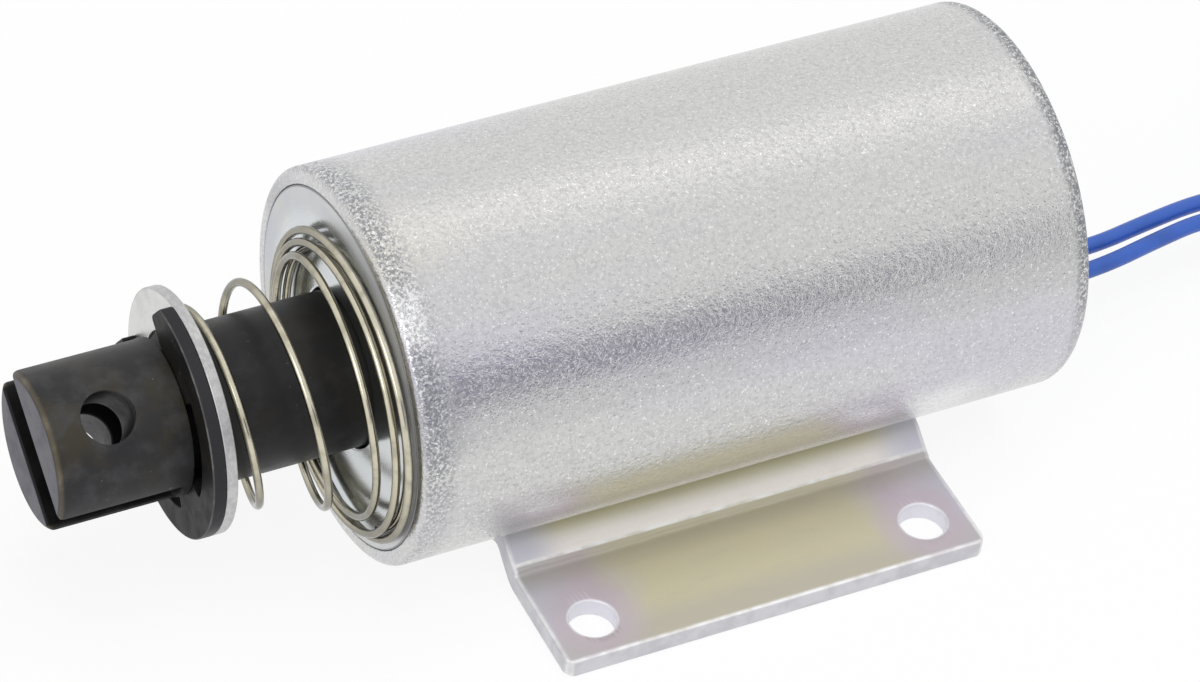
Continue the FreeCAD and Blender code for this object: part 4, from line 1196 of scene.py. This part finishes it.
class SOLENOID_OT_collar(bpy.types.Operator):
    """Stamp the retaining clip and the washer behind it"""

    bl_idname = "solenoid.collar"
    bl_label = "Clip and washer"

    def execute(self, context):
        plunger = context.scene.solenoid_plunger
        low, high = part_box("retaining_clip")
        washer_low, washer_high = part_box("spring_washer")
        radius = (washer_high.z - washer_low.z) / 2
        outline = rounded(self.clip_corners(plunger, radius))
        clip = new_object("snap_clip", prism_mesh("snap_clip", outline, 0, low.x, high.x), plunger.clip_turn)
        edges = clip.modifiers.new("rims", "BEVEL")
        edges.width = plunger.rim_round
        edges.segments = 3
        edges.limit_method = "ANGLE"
        edges.angle_limit = math.radians(50)
        settle(clip)
        dress(clip, clip_finish(plunger, low.x, radius), "plunger", "clip_black", "retaining_clip")
        outline = rounded([
            (washer_low.x, plunger.washer_bore, plunger.rim_round),
            (washer_low.x, radius, plunger.rim_round),
            (washer_high.x, radius, plunger.rim_round),
            (washer_high.x, plunger.washer_bore, plunger.rim_round),
        ])
        washer = new_object("flat_washer", turned_mesh("flat_washer", outline, 200))
        steel = washer_finish(tuple(plunger.washer_steel), radius)
        dress(washer, steel, "spring_seat", "washer_steel", "spring_washer")
        return {"FINISHED"}

    def clip_corners(self, plunger, radius):
        """The clip's outline with its mouth to +Y: rim, tips, mouth, lugs and reliefs"""
        corner = plunger.clip_corner
        rim = math.acos(plunger.clip_tip_height / radius)
        half = plunger.clip_mouth / 2
        lug_start = math.asin(half / plunger.groove_radius)
        inner = math.sqrt(plunger.groove_radius**2 - half**2)
        side = [(plunger.clip_tip_height, half, corner), (inner, half, corner)]
        side += self.arc(plunger.groove_radius, lug_start, plunger.clip_tip_lug, 5, 0, corner)
        back = math.pi - plunger.clip_back_lug
        side += self.arc(plunger.clip_relief_radius, plunger.clip_tip_lug, back, 10, corner, corner)
        side += self.arc(plunger.groove_radius, back, math.pi, 3, corner, 0)
        mirrored = [(a, -b, c) for a, b, c in reversed(side)]
        outside = self.arc(radius, -rim, rim - 2 * math.pi, 60, corner, corner)
        return side + mirrored[1:] + outside

    def arc(self, radius, first, last, steps, first_corner, last_corner):
        """Corners along an arc; the first and the last have roundings of their own"""
        corners = []
        for step in range(steps + 1):
            angle = first + (last - first) * step / steps
            size = first_corner if step == 0 else last_corner if step == steps else 0
            corners.append((radius * math.cos(angle), radius * math.sin(angle), size))
        return corners if first_corner else corners[1:]


class SOLENOID_OT_spring(bpy.types.Operator):
    """Wind the conical return spring"""

    bl_idname = "solenoid.spring"
    bl_label = "Return spring"

    def execute(self, context):
        spring = context.scene.solenoid_spring
        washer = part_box("spring_washer")[1].x
        start = washer + spring.wire_radius
        steps = 30
        path = [self.place(spring, start, step / steps) for step in range(spring.half_turns * steps + 1)]
        wound = new_object("wound_spring", swept_mesh("wound_spring", path, spring.wire_radius, 16))
        dress(wound, wire_finish(tuple(spring.nickel)), "housing", "spring_steel", "return_spring")
        joint = next(j for j in frame["joints"] if j["name"] == "plunger_slide")
        anchor = FRONT - spring.wire_radius
        travel = joint["range_m"][1]
        keep = (anchor - washer - travel) / (anchor - washer)
        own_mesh(wound)
        return {"FINISHED"}

    def share(self, spring, turn, begin, finish):
        """Rises from 0 to 1 between two places along the wire, its corners softened"""
        risen = turn - begin + math.hypot(turn - begin, spring.ease)
        risen -= turn - finish + math.hypot(turn - finish, spring.ease)
        return risen / 2 / (finish - begin)

    def climb(self, spring, turn):
        """How far along the axis the wire has come, apart from lean and tilt"""
        rise = spring.open_rise * self.share(spring, turn, spring.open_from, spring.open_to)
        rise += spring.closed_rise * self.share(spring, turn, spring.open_to, spring.half_turns)
        return rise + spring.sink * self.share(spring, turn, spring.sink_from, spring.sink_to)

    def place(self, spring, start, turn):
        """Middle of the wire after a number of half turns from the washer"""
        part = turn / spring.half_turns
        angle = spring.start + math.pi * turn
        sag = spring.sag * part
        leaning = self.share(spring, turn, spring.lean_from, spring.lean_full)
        leaning -= self.share(spring, turn, spring.lean_fade, spring.lean_end)
        along = start + self.climb(spring, turn) - self.climb(spring, 0)
        along += spring.lean * leaning * math.sin(math.pi * turn)
        along -= spring.tilt * part * math.cos(angle - spring.sag_turn)
        widened = self.share(spring, turn, spring.wide_from, spring.wide_to)
        drawn_in = self.share(spring, turn, spring.last_from, spring.last_to)
        radius = spring.small_radius + (spring.large_radius - spring.small_radius) * widened
        radius -= (spring.large_radius - spring.last_radius) * drawn_in
        across = sag * math.cos(spring.sag_turn) + radius * math.cos(angle)
        return Vector((along, across, sag * math.sin(spring.sag_turn) + radius * math.sin(angle)))


class SOLENOID_OT_foot(bpy.types.Operator):
    """Bend the foot plate, round its edges and drill its holes"""

    bl_idname = "solenoid.foot"
    bl_label = "Foot plate"

    def execute(self, context):
        foot = context.scene.solenoid_foot
        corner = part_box("foot_plate")[1]
        half = self.half_section(foot, corner.y)
        section = [(-p[0], p[1], -p[2], p[3], p[4]) for p in reversed(half[1:])] + half
        plate = add_object("bent_foot", self.plate_mesh(foot, section, corner.x))
        for along in (-foot.hole_long / 2, foot.hole_long / 2):
            for across in (-foot.hole_cross / 2, foot.hole_cross / 2):
                cut_away(plate, self.drill(foot, along, across))
        dress(plate, chromate_finish(foot), "housing", "foot_zinc", "foot_plate", sharp=50)
        return {"FINISHED"}

    def half_section(self, foot, width):
        """Middle line of half the strip: (across, up, normal across, normal up, distance from the side)"""
        middle = foot.thickness / 2
        axis = Vector((0, AXIS_HEIGHT))
        belly = CASE_RADIUS + middle
        above = Vector((math.sin(foot.slope), math.cos(foot.slope)))
        corner = Vector((foot.bend_width / 2, middle))
        crest = foot.crest_radius
        reach = (AXIS_HEIGHT * above.y + crest - corner.dot(above)) / (belly + crest)
        belly_end = math.acos(reach) - foot.slope
        crest_centre = axis + Vector((math.sin(belly_end), -math.cos(belly_end))) * (belly + crest)
        bend = foot.bend_radius
        bend_centre = corner + Vector((bend * math.tan(foot.slope / 2), bend))
        line = self.arc(axis, belly, 0, belly_end, 12)
        line += self.arc(crest_centre, -crest, belly_end, -foot.slope, 12)[1:]
        top, bottom = line[-1][0], bend_centre - above * bend
        line += [(top.lerp(bottom, step / 14), above) for step in range(1, 15)]
        line += self.arc(bend_centre, bend, -foot.slope, 0, 18)[1:]
        last = line[-1][0].x
        flat = width - last
        near_side = (1.0, 0.92, 0.7, 0.5, 0.35, 0.22, 0.12, 0.05, 0)
        stops = [0.12 * flat, 0.25 * flat]
        stops += [flat - foot.corner_radius * share for share in near_side]
        line += [(Vector((last + stop, middle)), Vector((0, 1))) for stop in stops]
        return [(p.x, p.y, n.x, n.y, width - p.x) for p, n in line]

    def arc(self, centre, radius, first, last, steps):
        """Places on an arc with the upper skin's direction; a radius below 0 turns the arc over"""
        angles = [first + (last - first) * step / steps for step in range(steps + 1)]
        outs = [Vector((math.sin(angle), -math.cos(angle))) for angle in angles]
        return [(centre + out * radius, -out) for out in outs]

    def plate_mesh(self, foot, section, half_length):
        """The bent plate: both skins follow the section, and draw together at the sheared edges"""
        mesh = bmesh.new()
        top, bottom = [], []
        for across, up, lean, rise, side in section:
            half = half_length - self.drawn_in(foot.corner_radius, side)
            upper, lower = [], []
            for along in self.stations(foot, half):
                inset = min(half - abs(along), side)
                thick = foot.thickness / 2 - 0.6 * self.drawn_in(foot.edge_round, inset)
                crease = self.crease(foot, along / half_length, abs(across))
                upper.append(mesh.verts.new((along, across + lean * thick, up + rise * thick + crease)))
                lower.append(mesh.verts.new((along, across - lean * thick, up - rise * thick)))
            top.append(upper)
            bottom.append(lower)
        for rows in (top, bottom):
            for row, following in zip(rows, rows[1:]):
                skin(mesh, row, following)
        for end in (0, -1):
            skin(mesh, [row[end] for row in top], [row[end] for row in bottom])
            skin(mesh, top[end], bottom[end])
        return finished_mesh("bent_foot", mesh)

    def drawn_in(self, radius, inset):
        """How far a rounding of this radius has drawn an edge in, at an inset from where it ends"""
        return radius - math.sqrt(radius**2 - (radius - inset) ** 2) if inset < radius else 0.0

    def stations(self, foot, half):
        """Places along the plate that carry its section, closer together at both sheared ends"""
        near_end = [foot.edge_round * share for share in (0.0, 0.1, 0.3, 0.6, 1.0)]
        plain = 2 * half - 2 * foot.edge_round
        steps = 90
        places = [-half + offset for offset in near_end]
        places += [-half + foot.edge_round + plain * step / steps for step in range(1, steps)]
        return places + [half - offset for offset in reversed(near_end)]

    def crease(self, foot, along, across):
        """Height of the pressed ridge at the slope's bottom, strongest at the front end"""
        place = foot.bend_width / 2 - 0.15 * MM
        wander = 0.10 * MM * math.sin(9.0 * along) + 0.06 * MM * math.sin(31.0 * along + 1.3)
        gap = across - place - wander
        strength = 0.5 + 0.5 * (0.5 - 0.5 * along) ** 2
        spread = 1.6 * MM if gap <= 0 else 0.16 * MM
        return foot.crease_height * strength * math.exp(-((gap / spread) ** 2))

    def drill(self, foot, along, across):
        """A round cutter that widens at both skins, to round the hole's edges"""
        radius = foot.hole_radius
        thick = foot.thickness
        ease = 0.22 * MM
        widest = radius + 0.7 * ease
        mouth = [
            (thick - ease, radius),
            (thick - 0.3 * ease, radius + 0.25 * ease),
            (thick, widest),
            (thick + MM, widest + MM),
            (thick + MM, 0),
        ]
        back = [(thick - height, width) for height, width in reversed(mouth)]
        data = turned_mesh("drill", back + mouth, 72)
        data.transform(Matrix.Rotation(math.radians(-90), 4, "Y"))
        cutter = add_object("drill", data, (along, across, 0))
        bpy.context.view_layer.update()
        return cutter


class SOLENOID_OT_inner_parts(bpy.types.Operator):
    """Give the pieces inside the case their finishes"""

    bl_idname = "solenoid.inner_parts"
    bl_label = "Inner parts"

    def execute(self, context):
        leads = context.scene.solenoid_leads
        finishes = {
            metal_finish("guide_brass", (0.66, 0.50, 0.22), 0.22): ["guide_tube", "stop_shim"],
            metal_finish("core_steel", (0.50, 0.50, 0.49), 0.30): ["fixed_core"],
            dull_finish("bobbin_nylon", (0.62, 0.59, 0.50), 0.45): ["bobbin"],
            winding_finish(): ["coil_winding"],
            dull_finish("wrap_tape", (0.55, 0.42, 0.10), 0.32): ["coil_wrap"],
            dull_finish("insulating_board", (0.28, 0.20, 0.13), 0.60): [
                "front_insulating_disc", "rear_insulating_disc"
            ],
            metal_finish("splice_tin", tuple(leads.tin), 0.30): ["splice_sleeve_1", "splice_sleeve_2"],
            bpy.data.materials["lead_insulation"]: ["lead_1_tail", "lead_2_tail"],
        }
        for material, names in finishes.items():
            for name in names:
                node = frame["nodes"][name]
                node.data.materials.clear()
                node.data.materials.append(material)
        return {"FINISHED"}


class SOLENOID_PT_panel(bpy.types.Panel):
    """Settings and steps of the solenoid"""

    bl_idname = "SOLENOID_PT_panel"
    bl_label = "Tubular solenoid"
    bl_space_type = "VIEW_3D"
    bl_region_type = "UI"
    bl_category = "Solenoid"

    def draw(self, context):
        layout = self.layout
        for name, group in SETTINGS.items():
            box = layout.box()
            box.label(text=group.__doc__)
            for setting in group.__annotations__:
                box.prop(getattr(context.scene, name), setting)
        for step in STEPS:
            layout.operator(step.bl_idname)


STEPS = (
    SOLENOID_OT_studio,
    SOLENOID_OT_leads,
    SOLENOID_OT_case,
    SOLENOID_OT_end_plates,
    SOLENOID_OT_plunger,
    SOLENOID_OT_collar,
    SOLENOID_OT_spring,
    SOLENOID_OT_foot,
    SOLENOID_OT_inner_parts,
)


def register():
    for name, group in SETTINGS.items():
        bpy.utils.register_class(group)
        setattr(bpy.types.Scene, name, PointerProperty(type=group))
    for step in (*STEPS, SOLENOID_PT_panel):
        bpy.utils.register_class(step)


def unregister():
    for step in (SOLENOID_PT_panel, *reversed(STEPS)):
        bpy.utils.unregister_class(step)
    for name, group in SETTINGS.items():
        delattr(bpy.types.Scene, name)
        bpy.utils.unregister_class(group)


def main():
    """Builds the whole scene in order."""
    register()
    bpy.ops.solenoid.studio()
    bpy.ops.solenoid.leads()
    bpy.ops.solenoid.case()
    bpy.ops.solenoid.end_plates()
    bpy.ops.solenoid.plunger()
    bpy.ops.solenoid.collar()
    bpy.ops.solenoid.spring()
    bpy.ops.solenoid.foot()
    bpy.ops.solenoid.inner_parts()


if __name__ == "__main__":
    main()
